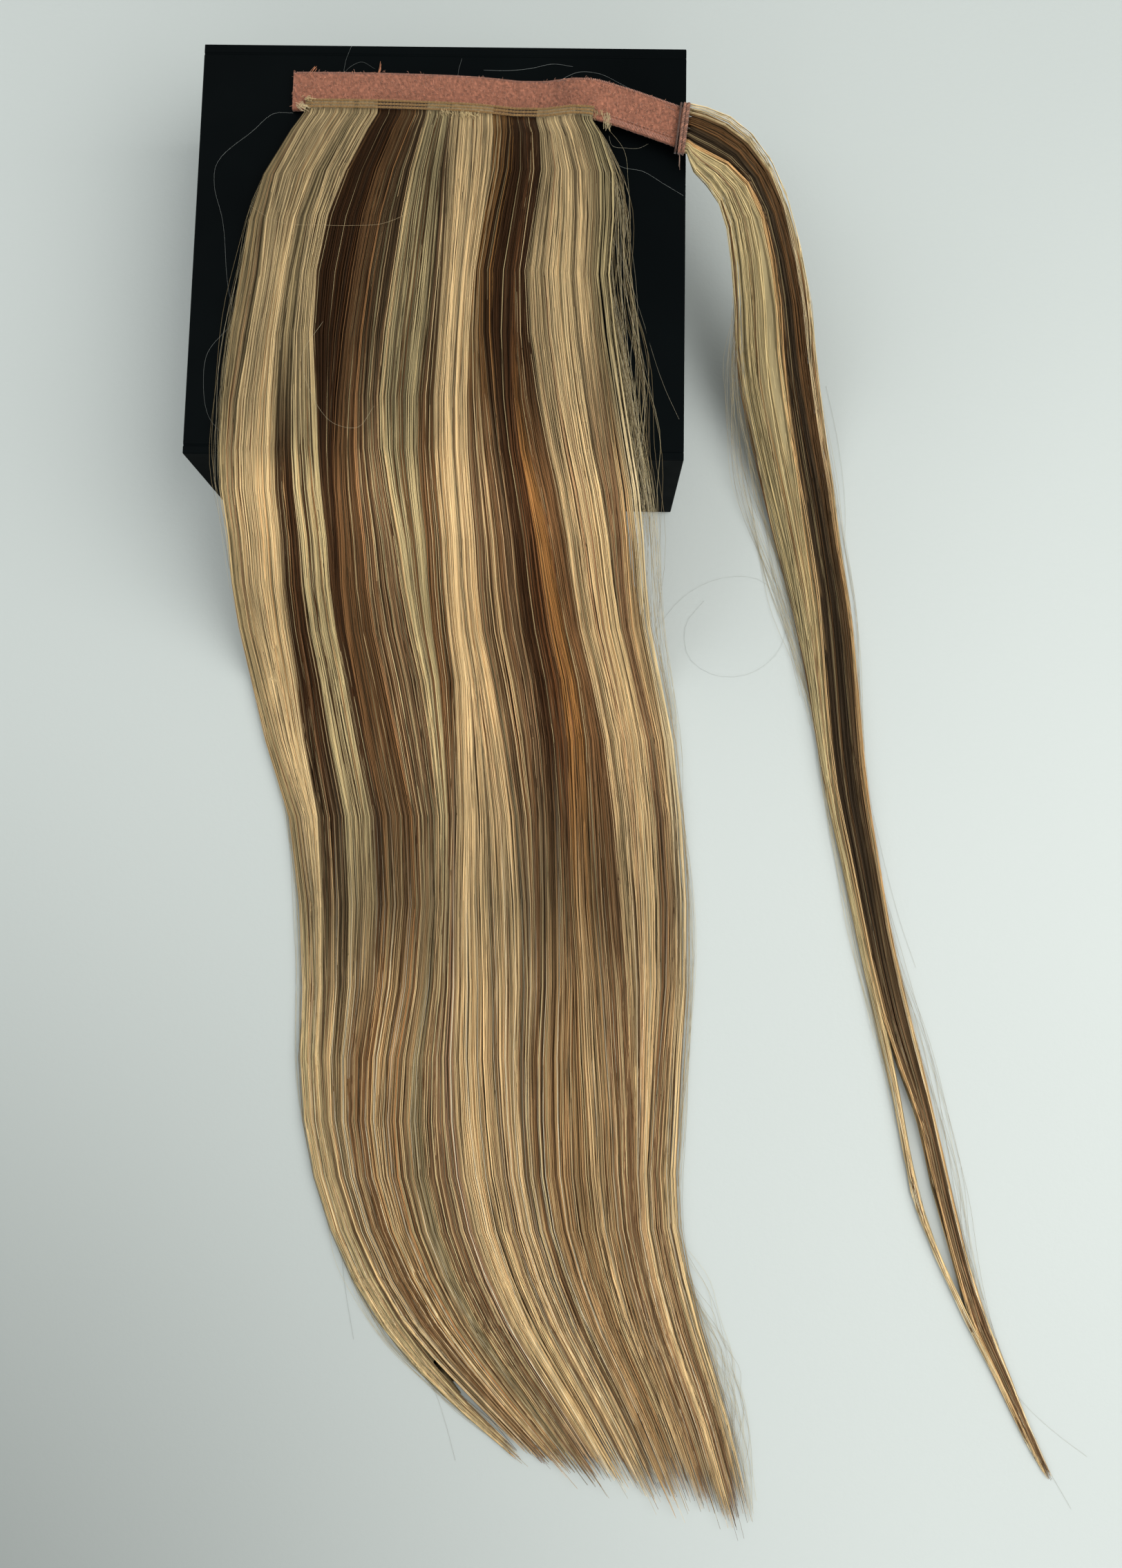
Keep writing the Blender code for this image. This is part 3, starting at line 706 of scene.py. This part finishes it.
def build_curtain():
    """The main hair's strands, in clumps that share their way."""
    streak, ways = deal_clumps(STREAKS, CLUMPS, 0.35)
    count = CLUMPS * STRANDS_IN_CLUMP
    clump = np.repeat(np.arange(CLUMPS), STRANDS_IN_CLUMP)
    stations = np.array(CURTAIN_STATIONS)

    middle = ways[clump, -1]
    length = 0.983 + 0.004 * np.sin(2 * np.pi * 9.0 * middle + 0.7)
    length = length + 0.005 * np.sin(2 * np.pi * 31.0 * middle)
    length = length + RNG.normal(0, 0.007, CLUMPS)[clump] + RNG.normal(0, 0.005, count)
    length = length - 0.09 * RNG.random(count) ** 5
    free = np.maximum(stations - LAST_SHARED, 0.0) / (1.0 - LAST_SHARED)
    v = np.minimum(stations, LAST_SHARED)[None, :] + (length[:, None] - LAST_SHARED) * free[None, :]

    share = read_rows(STREAK_PLACES, ways[clump], v)
    clump_drift = waver(np.broadcast_to(stations, (CLUMPS, len(stations))), CLUMPS, 0.50, (1, 2, 3.3))
    own_drift = waver(v, count, 0.10, (1.4, 3.1))
    spread = RNG.normal(0, 0.16, (count, 1)) * (1.0 - 0.35 * ease((v - 0.8) / 0.2))
    crossing = np.where(RNG.random((count, 1)) < 0.08, RNG.normal(0, 6.0, (count, 1)), 0.0) * (v - 0.25)
    ramp_in = ease(v / 0.10)
    sideways = (clump_drift[clump] + own_drift + crossing) * ramp_in + spread * (0.35 + 0.65 * ramp_in)
    share = share + sideways / HAIR_WIDTH
    split = np.where(share < 0.075, -0.012, 0.022 * (1 - ease((share - 0.075) / 0.2)))
    share = share + split * ease((v - 0.86) / 0.10)
    for locks, pull in ((53.0, 0.18), (131.0, 0.30)):
        centre = (np.floor(share * locks) + 0.5) / locks
        share = share + (centre - share) * pull * ease((v - 0.84) / 0.16)
    over = RNG.normal(0, 0.006, (count, 1))
    share = np.where(share < 0, over * 0.4 + 0.1 * share, share)
    share = np.where(share > 1, 1 + over * 0.4 + 0.1 * (share - 1), share)

    buried = 0.4 * RNG.random((CLUMPS, 1))[clump] + 0.6 * RNG.random((count, 1))
    height = 0.56 + 0.40 * (1.0 - buried**1.4)
    height = np.clip(height + 0.012 * waver(v, count, 1.0, (1.0, 2.5)), 0.4, 1.03)
    height = height * (1.0 - 0.25 * ease((v - 0.9) / 0.1))
    paths = curtain_point(v, share, height)

    mixed = np.clip(streak + np.round(RNG.normal(0, 0.28, CLUMPS)).astype(int), 0, len(STREAKS) - 1)
    tones = pick_tones(STREAKS, mixed, CLUMPS)[:, clump]
    # Random tone per clump; the darker clumps are also painted shadow in the gaps between clumps.
    locks = RNG.choice((0.52, 1.0, 1.28), CLUMPS, p=(0.13, 0.76, 0.11))
    clump_tone_and_shade = (locks * np.exp(RNG.normal(0, 0.15, CLUMPS)))[clump][:, None, None]
    # Painted light and shade along the hair, multiplied into the strands' colours.
    shade = np.interp(v, PAINTED_LIGHT_PLACES, PAINTED_LIGHT_ALONG_HAIR)[..., None]
    colours = blend_tones(tones, v) * clump_tone_and_shade * strand_tone_and_painted_lines(count) * shade
    colours = within_white(colours)
    radii = STRAND_RADIUS * (1.0 - 0.45 * ease((stations - 0.93) / 0.07))[None, :]
    radii = radii * RNG.uniform(0.75, 1.25, (count, 1))

    hair = hair_material("streaked_hair", *STRAND_LOOKS)
    order = RNG.permutation(count)
    for number in range(CURTAIN_PIECES):
        chosen = order[number::CURTAIN_PIECES]
        mesh = tube_mesh(paths[chosen], radii[chosen], colours[chosen])
        new_object(f"main_hair_{number + 1}", mesh, hair, ("hair_curtain",))


def build_underlay():
    """A closed layer of hair under the main strands, darkened by painted shade, with ridges along the hair.
    """
    columns, rows, below = 280, 40, 24
    place = np.linspace(0.0, 1.0, columns)
    reach = 0.915 + 0.012 * np.sin(2 * np.pi * 6 * place) + 0.012 * np.sin(2 * np.pi * 23 * place)
    known = np.linspace(0, 1, len(CURTAIN_STATIONS))
    stations = np.interp(np.linspace(0, 1, rows), known, CURTAIN_STATIONS)
    v = stations[:, None] * reach[None, :]
    right = 0.925 + 0.06 * ease((v - 0.24) / 0.14)
    share = 0.012 + (right - 0.012) * place[None, :]
    ridge = RNG.normal(0, 0.035, (1, columns)) + RNG.normal(0, 0.01, (rows, columns))
    top = curtain_point(v, share, 0.38 * (1 - 0.6 * ease((v - 0.8) / 0.15)) + ridge)
    back = np.linspace(columns - 1, 0, below).astype(int)
    low_share, low_v = share[:, back], v[:, back]
    under = curtain_point(low_v, low_share, np.full(low_v.shape, 0.02))
    rings = np.concatenate([top, under], axis=1)

    full_share = np.concatenate([share, low_share], axis=1)
    full_v = np.concatenate([v, low_v], axis=1)
    colours = np.zeros(rings.shape)
    for streak, inside in streak_masks(STREAKS, STREAK_PLACES, full_share, full_v):
        own = palette()[tone_numbers(streak[:3])]
        colours = np.where(inside, blend_tones(own[:, None], full_v), colours)
    # Painted shade of about 0.58 on average, with random tone from column to column.
    painted_shade_columns = np.exp(RNG.normal(-0.55, 0.25, (1, columns + below, 1)))
    mesh = loft_mesh(rings, colours * painted_shade_columns)
    lower = hair_material("shaded_hair", *UNDER_LOOKS)
    new_object("hair_underlay", mesh, lower, ("hair_curtain",))


def wrap_point(v, share, height):
    """A point of the wrap lock: v along it, share across it and height in its thickness."""
    section = read_table(WRAP_SECTIONS, v)
    along = (share - 0.5) * section[..., 3]
    turn = np.radians(section[..., 5])
    rounding = 0.35 + 0.65 * np.sqrt(np.clip(1.0 - (2 * share - 1) ** 2, 0.0, 1.0))
    ahead = read_table(WRAP_SECTIONS, np.minimum(v + 0.004, 1.0))
    behind = read_table(WRAP_SECTIONS, np.maximum(v - 0.004, 0.0))
    run = (ahead - behind)[..., :3]
    across = np.stack([np.cos(turn), np.sin(turn), np.zeros_like(turn)], axis=-1)
    normal = np.cross(run, across)
    normal /= np.linalg.norm(normal, axis=-1, keepdims=True)
    normal *= np.sign(normal[..., 2:3])
    lift = section[..., 4] * rounding * (height - np.maximum(section[..., 6], 0.0))
    return section[..., :3] + across * along[..., None] + normal * lift[..., None]


def part_lock(v, share, inner):
    """Low down the inner streak parts from the lock and joins it again before the tip."""
    parted = ease((v - 0.66) / 0.08) * (1 - ease((v - 0.82) / 0.07))
    side = share / 0.25 * 0.14
    rest = 0.52 + (share - 0.15) * 0.48 / 0.85
    return share + (np.where(inner, side, rest) - share) * parted


def build_wrap_lock():
    """The strands of the long lock from the binding down to the table."""
    streak, ways = deal_clumps(WRAP_STREAKS, WRAP_CLUMPS)
    count = WRAP_CLUMPS * STRANDS_IN_CLUMP
    clump = np.repeat(np.arange(WRAP_CLUMPS), STRANDS_IN_CLUMP)
    stations = np.linspace(0.0, 1.0, WRAP_STATIONS) ** 1.45
    length = 1.0 - 0.16 * RNG.random(WRAP_CLUMPS)[clump] ** 3 - 0.02 * RNG.random(count)
    v = stations[None, :] * length[:, None]
    share = read_rows(WRAP_PLACES, ways[clump], v)
    even = np.broadcast_to(stations, (WRAP_CLUMPS, WRAP_STATIONS))
    drift = waver(even, WRAP_CLUMPS, 0.035, (1, 2.3, 4.0))[clump]
    drift = drift + waver(v, count, 0.012, (2.0, 4.0))
    share = share + drift * ease(v / 0.08) + RNG.normal(0, 0.012, (count, 1))
    share = np.clip(part_lock(v, share, streak[clump][:, None] == 0), -0.03, 1.03)

    height = 1.0 - RNG.random((WRAP_CLUMPS, 1))[clump] ** 1.3 + RNG.normal(0, 0.03, (count, 1))
    height = np.clip(height + 0.02 * waver(v, count, 1.0, (1.0, 2.5)), 0.02, 1.03)
    paths = wrap_point(v, share, height)
    root = paths[:, :1] + np.array([-3.0, 1.0, -0.6])
    paths = np.concatenate([root, paths], axis=1)
    tones = pick_tones(WRAP_STREAKS, streak, WRAP_CLUMPS)[:, clump]
    light = np.exp(RNG.normal(0, 0.12, (WRAP_CLUMPS, 1, 1)))[clump] * strand_tone_and_painted_lines(count)
    colours = within_white(blend_tones(tones, v, (0.14, 0.30), (0.55, 0.75)) * light * WRAP_SHADE)
    colours = np.concatenate([colours[:, :1], colours], axis=1)
    thinner = (1.0 - 0.4 * ease((stations - 0.9) / 0.1))[None, :]
    radii = STRAND_RADIUS * thinner * RNG.uniform(0.85, 1.15, (count, 1))
    radii = np.concatenate([radii[:, :1], radii], axis=1)
    hair = hair_material("lock_hair", *STRAND_LOOKS)
    new_object("wrap_strands", tube_mesh(paths, radii, colours), hair, ("wrap_lock",))


def build_wrap_core():
    """The closed core under the strands of the wrap lock, darkened by painted shade."""
    core_v = np.linspace(0.0, 0.86, CORE_ROWS)[:, None] * np.ones(CORE_CORNERS)
    angle = np.linspace(0, 2 * np.pi, CORE_CORNERS, endpoint=False)[None, :] * np.ones((CORE_ROWS, 1))
    parted = ease((core_v - 0.58) / 0.10)
    core_share = 0.5 + 0.25 * parted + (0.40 - 0.20 * parted) * np.cos(angle)
    core_height = 0.5 + 0.34 * np.sin(angle)
    tones = np.zeros((CORE_ROWS, CORE_CORNERS, 3))
    for lock, inside in streak_masks(WRAP_STREAKS, WRAP_PLACES, core_share, core_v):
        tones = np.where(inside, linear(TONES[lock.middle]) * CORE_PAINTED_SHADE, tones)
    mesh = loft_mesh(wrap_point(core_v, core_share, core_height)[:, ::-1], tones[:, ::-1])
    core = hair_material("shaded_lock_hair", *UNDER_LOOKS)
    new_object("wrap_core", mesh, core, ("wrap_lock",))


def build_band():
    """The loop tape and the fibres of its pile."""
    half = TAPE_WIDTH / 2
    top = np.linspace(-half, half, 18)
    outline = [(-half, 0.35), (-half, 0.9)] + [(a, TAPE_THICK) for a in top] + [(half, 0.9), (half, 0.35)]
    outline += [(half - 0.5, 0.0), (0.0, 0.0), (-half + 0.5, 0.0)]
    outline = np.array(outline)
    places = np.repeat(np.linspace(0, 1, BAND_STATIONS)[:, None], len(outline), axis=1)
    across = outline[:, 0] + RNG.normal(0, 0.06, places.shape)
    up = outline[:, 1] + np.where(outline[:, 1] > 0.5, RNG.normal(0, 0.10, places.shape), 0.0)
    rings = band_points(places, across, up)
    spots = 0.12 * np.sin(320 * places) * np.sin(1.7 * across + 60 * places)
    # Painted shade where the band rises off the lid towards its crest.
    painted_shade_on_rise = -0.22 * np.exp(-(((places - 0.69) / 0.035) ** 2))
    colours = linear(TAPE_TONE) * np.exp(RNG.normal(0, 0.16, places.shape) + spots + painted_shade_on_rise)[..., None]
    tape = toned_material("loop_tape_ground", 0.95, 0.15, 0.8, 1.25, 900.0, sheen=0.2, bump=0.5)
    mesh = loft_mesh(rings[:, ::-1], colours[:, ::-1])
    new_object("band_tape", mesh, tape, ("fastening_band",))

    count = PILE_FIBRES
    place = RNG.uniform(0.0, 1.0, count)
    across = RNG.uniform(-half, half, count)
    root = band_points(place, across, np.full(count, TAPE_THICK - 0.1))
    heading = RNG.uniform(0, 2 * np.pi, count)
    curl = RNG.normal(0, 1.4, count)
    reach = RNG.uniform(0.8, 1.9, count)
    t = np.linspace(0, 1, 4)[None, :]
    bearing = heading[:, None] + curl[:, None] * t
    x = np.cumsum(np.cos(bearing), axis=1) - np.cos(bearing[:, :1])
    y = np.cumsum(np.sin(bearing), axis=1) - np.sin(bearing[:, :1])
    z = np.sin(np.pi * np.minimum(t * 0.85, 1.0)) * RNG.uniform(0.25, 0.7, (count, 1))
    paths = root[:, None, :] + np.stack([x * reach[:, None] / 3, y * reach[:, None] / 3, z], axis=-1)
    patches = np.sin(1.3 * root[:, 0] + 0.6 * root[:, 1])
    patches = patches * np.sin(0.57 * root[:, 0] - 1.1 * root[:, 1] + 1.0)
    light = np.exp(RNG.normal(0.06, 0.32, (count, 1, 1)) + 0.14 * patches[:, None, None])
    fibres = np.broadcast_to(linear(PILE_TONE), (count, 4, 3)) * light
    pile = toned_material("loop_pile", 0.8, 0.2, 0.85, 1.15, 1200.0, sheen=0.25)
    new_object("band_pile", tube_mesh(paths, 0.055, fibres), pile)


def build_selvedge():
    """Woven ribs along the band's bare edges and the dotted row of stitches above the lower ones."""
    ribs = []
    t = np.linspace(0.0, 1.0, 5)[None, :]
    for start, end, low, high in SELVEDGES:
        place = np.linspace(start, end, int((end - start) * BAND_LENGTH / RIB_STEP))
        across = low + (high - low) * t + 0.0 * place[:, None]
        up = TAPE_THICK + 0.02 + 0.16 * np.sin(np.pi * t) + 0.0 * place[:, None]
        ribs.append(band_points(np.broadcast_to(place[:, None], across.shape), across, up))
    ribs = np.concatenate(ribs)
    place = np.arange(0.805, 0.985, 0.0105)[:, None]
    lift = TAPE_THICK + 0.25 + 0.3 * np.sin(np.pi * t) + 0 * place
    dots = band_points(place + 0.0055 * t, np.full(lift.shape, -5.5), lift)
    paths = np.concatenate([ribs, dots])
    shade = RNG.normal(0, 0.12, (len(paths), 5, 3)).mean(axis=2, keepdims=True)
    colours = linear(SELVEDGE_TONE) * np.exp(shade)
    colours[len(ribs) :] *= 0.75
    woven = toned_material("selvedge_thread", 0.7, 0.3, 0.75, 1.15, 1400.0, bump=0.3, sheen=0.25)
    new_object("band_selvedge", tube_mesh(paths, 0.2, colours, 4), woven)


def build_weft():
    """The sewn track: hair ends in a strip darkened by painted shade, with three rows of zigzag stitches
    over it.
    """
    half = WEFT_WIDTH / 2
    side = [(half, 0.0), (half, 0.9), (half * 0.7, 1.3)]
    outline = np.array([(-across, up) for across, up in side] + [(0.0, 1.45)] + side[::-1])
    share = np.repeat(np.linspace(0, 1, WEFT_STATIONS)[:, None], len(outline), axis=1)
    up = TAPE_THICK + GAP + outline[:, 1] + RNG.normal(0, 0.06, share.shape)
    rings = weft_points(share, WEFT_OFFSET + outline[:, 0], up)
    ends = [0.0] + [streak.weft for streak in STREAKS]
    which = np.clip(np.searchsorted(ends, share[:, 0], side="right") - 1, 0, len(STREAKS) - 1)
    tones = np.array([linear(TONES[STREAKS[number].top]) for number in which]) * WEFT_PAINTED_SHADE
    colours = np.broadcast_to(tones[:, None], rings.shape) * np.exp(RNG.normal(0, 0.2, (*share.shape, 1)))
    body = toned_material("weft_hair", 0.6, 0.4, 0.8, 1.2, 500.0, bump=0.3)
    mesh = loft_mesh(rings[:, ::-1], colours[:, ::-1])
    new_object("weft_strip", mesh, body, ("hair_weft",))

    along = np.linspace(0.0, 1.0, STITCHES * STEPS_IN_STITCH + 1)
    turn = 2 * np.pi * STITCHES * along
    paths = []
    for row in (-1.4, 0.0, 1.4):
        for phase in (0.0, np.pi):
            across = WEFT_OFFSET + row + 0.42 * np.sin(turn + phase)
            lift = TAPE_THICK + GAP + 1.46 + 0.22 * np.cos(2 * turn + phase)
            paths.append(weft_points(along, across, lift))
    paths = np.array(paths)
    shade = np.exp(RNG.normal(0, 0.10, (len(paths), paths.shape[1], 1)))
    colours = np.broadcast_to(linear(STITCH_TONE), paths.shape) * shade
    thread = toned_material("weft_thread", 0.55, 0.4, 0.75, 1.15, 1500.0, bump=0.3, sheen=0.2)
    new_object("weft_stitches", tube_mesh(paths, 0.18, colours, 4), thread)


def build_binding():
    """Three twisted bundles of thread across the band's end."""
    start, end = np.array(BINDING_TOP), np.array(BINDING_BOTTOM)
    run = (end - start) / np.linalg.norm(end - start)
    side = np.array([-run[1], run[0]])
    base = BOX_H + BAND_LINE[-1].lift + TAPE_THICK + GAP
    t = np.linspace(0, 1, 72)
    paths, radii = [], []
    for offset, size in ((-1.75, 0.26), (-0.25, 0.40), (1.15, 0.46)):
        for strand in range(3):
            turn = 2 * np.pi * (7 * t + strand / 3 + offset)
            flat = start + (end - start) * t[:, None] + side * (offset + size * np.cos(turn))[:, None]
            drop = 3.4 * np.abs(2 * t - 1) ** 14
            z = base + 1.45 + size * np.sin(turn) - drop
            paths.append(np.concatenate([flat, z[:, None]], axis=1))
            radii.append(0.80 * size)
    paths = np.array(paths)
    rope_tone_and_shade = np.array(ROPE_TONE_AND_SHADE)[:, None, None]
    shade = np.exp(RNG.normal(0, 0.16, (len(paths), len(t), 1)) + rope_tone_and_shade)
    colours = np.broadcast_to(linear(BINDING_TONE), paths.shape) * shade
    thread = toned_material("binding_thread", 0.7, 0.3, 0.7, 1.2, 1300.0, bump=0.4, sheen=0.25)
    mesh = tube_mesh(paths, np.array(radii)[:, None], colours, 6)
    new_object("binding_thread", mesh, thread, ("wrap_binding",))


def build_tufts(material):
    """Short tufts of pale hair ends and thread stubs where the weft is folded or cut."""
    t = np.linspace(0.0, 1.0, 8)[None, :, None]
    sets, tones, radii = [], [], []
    for tuft in TUFTS:
        spread = RNG.normal(0, 1, (tuft.count, 3)) * np.array([tuft.wide, 0.5, 0.25])
        spot = np.array([tuft.x, tuft.y, tuft.z]) + spread
        sway = RNG.normal(0, 1, (tuft.count, 3)) * np.array([0.45, 0.45, 0.15]) * tuft.stray
        aim = np.array([tuft.dx, tuft.dy, tuft.dz]) + sway
        aim *= RNG.uniform(0.6, 1.1, (tuft.count, 1))
        bend = RNG.normal(0, 0.35, (tuft.count, 3)) * tuft.stray
        sets.append(spot[:, None] + aim[:, None] * t + bend[:, None] * np.sin(np.pi * t))
        tones.append(linear(tuft.tone) * np.exp(RNG.normal(0, 0.18, (tuft.count, 1))))
        radii.append(np.full(tuft.count, tuft.radius))
    paths = np.concatenate(sets)
    colours = np.concatenate(tones)[:, None] * np.ones((1, 8, 1))
    mesh = tube_mesh(paths, np.concatenate(radii)[:, None], colours)
    new_object("weft_tufts", mesh, material)


def build_loose_hairs(material):
    """Single hairs that lie beside the locks, on the box's lid and on the table."""
    places = np.linspace(0.0, 1.0, LOOSE_STATIONS)
    charts = [[(x, y, hair.base + up) for x, y, up in hair.points] for hair in LOOSE_HAIRS]
    paths = np.array([read_table(chart, places) for chart in charts])
    paths[..., 2] += 0.15
    tones = np.array([linear(hair.tone) for hair in LOOSE_HAIRS])
    colours = np.broadcast_to(tones[:, None], paths.shape)
    new_object("loose_hairs", tube_mesh(paths, 0.035, colours), material)


def build_edge_hairs(material):
    """Thin fringes of single hairs that bow out along the edges of the hair."""
    stations = np.linspace(0.0, 1.0, EDGE_STATIONS)
    sets = []
    for edge in EDGE_HAIRS:
        each = (edge.count, 1)
        start = RNG.uniform(edge.start, edge.start + 0.06, each)
        v = start + (RNG.uniform(0.7, 1.0, each) * (edge.end - start)) * stations
        bow = np.sin(np.pi * stations * RNG.uniform(0.75, 1.15, each))
        size = edge.bow * RNG.uniform(0.1, 1.0, each) ** 1.3
        waves = RNG.uniform(1, 3, each)
        sway = 0.12 * edge.bow * np.sin(2 * np.pi * waves * stations + RNG.uniform(0, 6.3, each))
        root = RNG.uniform(0.0, 0.02, each)
        out = -root + size * bow + sway * ease(stations * 4)
        share = 1.0 + out if edge.side > 0 else -out
        height = RNG.uniform(0.1, 0.9, each) * (1 - 0.75 * bow.clip(0, 1))
        sets.append(edge.point(v, share, np.clip(height, 0.06, 1.0)))
    paths = np.concatenate(sets)
    tones = np.array([linear(code) for code in EDGE_TONES])
    chosen = tones[RNG.integers(0, len(tones), len(paths))]
    colours = chosen[:, None] * np.ones((1, EDGE_STATIONS, 1))
    new_object("edge_hairs", tube_mesh(paths, 0.05, colours), material)


# Single hairs charted: x and y of a few points of each, and their height over the base.
LID = 60.2
FLOOR = 0.1
LOOSE_HAIRS = table(
    "tone base points",
    ("#8f9490", LID, (
        (-60, 55, 2), (-67, 55, 2), (-76, 48, 1), (-91, 32, 0), (-91, 26, 0), (-87, 11, 0),
        (-83, -19, 0), (-78, -37, 1),
    )),
    ("#8a8f8b", LID, ((-80, -34, 2), (-90, -47, 1), (-91, -58, 0), (-88, -72, 0), (-80, -81, 2))),
    ("#c9b48c", LID, (
        (-74, 12, 7), (-63, 5, 8), (-44, 3, 9), (-33, 3, 9), (-21, 4, 9), (-11, 9, 8),
    )),
    ("#d2c4a2", LID, (
        (-43, -36, 8), (-50, -50, 9), (-46, -66, 9), (-36, -78, 9), (-28, -79, 9), (-22, -70, 8),
    )),
    ("#c2b794", LID, ((66, 49, 4), (73, 40, 3), (75, 27, 1), (76, 7, 0), (74, -11, 1))),
    ("#9aa09c", LID, ((66, 44, 3), (71, 35, 1), (81, 33, 0), (89, 28, 0), (97, 23, 0))),
    ("#a5a08c", LID, ((67, 46, 3), (68, 43, 2), (74, 43, 0), (79, 43, 0), (83, 45, 0))),
    ("#bdb396", LID, (
        (64, 33, 5), (72, 18, 2), (77, -2, 0), (79, -19, 0), (80, -36, 0), (85, -59, 0), (89, -80, 0),
    )),
    ("#b3ab93", LID, ((69, 2, 4), (74, -8, 2), (80, -25, 0), (91, -59, 0), (96, -70, 0))),
    ("#7f8582", LID, ((-42, 70, 1), (-41, 74, 0), (-40, 80, 0), (-38, 86, 0))),
    ("#6f7572", LID, ((-42, 72, 0), (-38, 77, 0), (-34, 79, 0), (-28, 76, 0))),
    ("#9ca3a0", LID, ((16, 76, 0), (27, 76, 0), (35, 77, 0), (44, 79, 0), (52, 78, 0))),
    ("#8c928f", LID, (
        (46, 66, 7), (55, 71, 6), (63, 71, 5), (71, 67, 5), (82, 61, 5), (93, 55, 6),
    )),
    ("#7f8582", LID, ((4, 70, 1), (5, 72, 0), (6, 77, 0), (7, 81, 0))),
    ("#a9aca4", FLOOR, (
        (84, -170, 0), (92, -140, 0), (107, -122, 0), (124, -115, 0), (137, -116, 0), (148, -129, 0),
        (146, -147, 0), (133, -158, 0), (118, -159, 0), (107, -152, 0), (105, -137, 0), (113, -126, 0),
    )),
    ("#8f8672", FLOOR, (
        (-57, -258, 0), (-56, -276, 0), (-50, -316, 0), (-42, -350, 0), (-36, -383, 0), (-33, -400, 0),
    )),
    ("#7b7a70", FLOOR, ((-42, -372, 0), (-36, -400, 0), (-33, -419, 0), (-29, -438, 0))),
    ("#8a8272", FLOOR, ((0, -448, 0), (6, -460, 0), (10, -471, 0), (14, -484, 0))),
    ("#bdb79f", FLOOR, ((167, -27, 0), (172, -53, 0), (175, -91, 0), (173, -116, 0))),
    ("#9a9078", FLOOR, ((186, -219, 0), (191, -242, 0), (197, -265, 0), (203, -283, 0))),
    ("#8a7a62", FLOOR, ((231, -436, 0), (243, -462, 0), (251, -478, 0), (262, -497, 0))),
    ("#a59a84", FLOOR, ((236, -448, 0), (248, -461, 0), (259, -470, 0), (269, -477, 0))),
)

# Tufts and thread ends: the middle of their roots, their run, and how far they spread and stray.
TUFTS = table(
    "tone x y z dx dy dz count wide stray radius",
    ("#d8c49c", -57, 57.5, 64, 2.6, -1.6, 0.2, 34, 0.9, 1.3, 0.09),
    ("#d2bb8c", -54, 60.4, 64.2, 1.8, -0.8, 0.3, 20, 1, 1.1, 0.09),
    ("#cdb888", 9, 54.6, 64.4, 0.6, -2.2, -0.2, 40, 2.6, 1.2, 0.09),
    ("#c9b285", 2, 55.2, 64.4, 0.4, -1.6, -0.2, 24, 2, 1.1, 0.09),
    ("#d3c096", 66, 53, 66.6, 0.2, -5.4, -1.6, 24, 0.7, 1, 0.07),
    ("#c9b285", 60.5, 54, 66.8, 0.2, -2.4, -0.3, 30, 2.6, 1, 0.09),
    ("#b67a58", -54, 72.6, 61.8, 2.6, 3.2, 0.3, 5, 0.3, 0.6, 0.11),
    ("#b67a58", -26.4, 72.6, 61.8, 0.9, 5.4, 0.4, 5, 0.3, 0.5, 0.11),
    ("#a98a78", 95.2, 39, 64, 0.3, -6.5, -1.2, 4, 0.3, 0.4, 0.09),
)

# Thin fringes of single hairs along an edge: side, count, how far they bow out, and where along it.
EDGE_HAIRS = table(
    "point side count bow start end",
    (curtain_point, 1, 46, 0.085, 0.0, 0.36),
    (curtain_point, 1, 26, 0.05, 0.10, 0.50),
    (curtain_point, 1, 26, 0.03, 0.42, 0.92),
    (curtain_point, 1, 26, 0.09, 0.80, 1.0),
    (curtain_point, -1, 26, 0.035, 0.02, 0.40),
    (curtain_point, -1, 20, 0.03, 0.36, 0.80),
    (curtain_point, -1, 18, 0.05, 0.78, 1.0),
    (wrap_point, -1, 34, 0.42, 0.10, 0.45),
    (wrap_point, -1, 10, 0.30, 0.40, 0.75),
    (wrap_point, 1, 12, 0.20, 0.12, 0.60),
    (wrap_point, 1, 12, 0.50, 0.55, 0.95),
)

build_floor()
paint_box()
build_band()
build_selvedge()
build_weft()
build_binding()
build_curtain()
build_underlay()
build_wrap_lock()
build_wrap_core()
single_hair = toned_material("single_hair", 0.42, 0.5, 0.9, 1.1, 200.0)
build_loose_hairs(single_hair)
build_tufts(single_hair)
build_edge_hairs(single_hair)
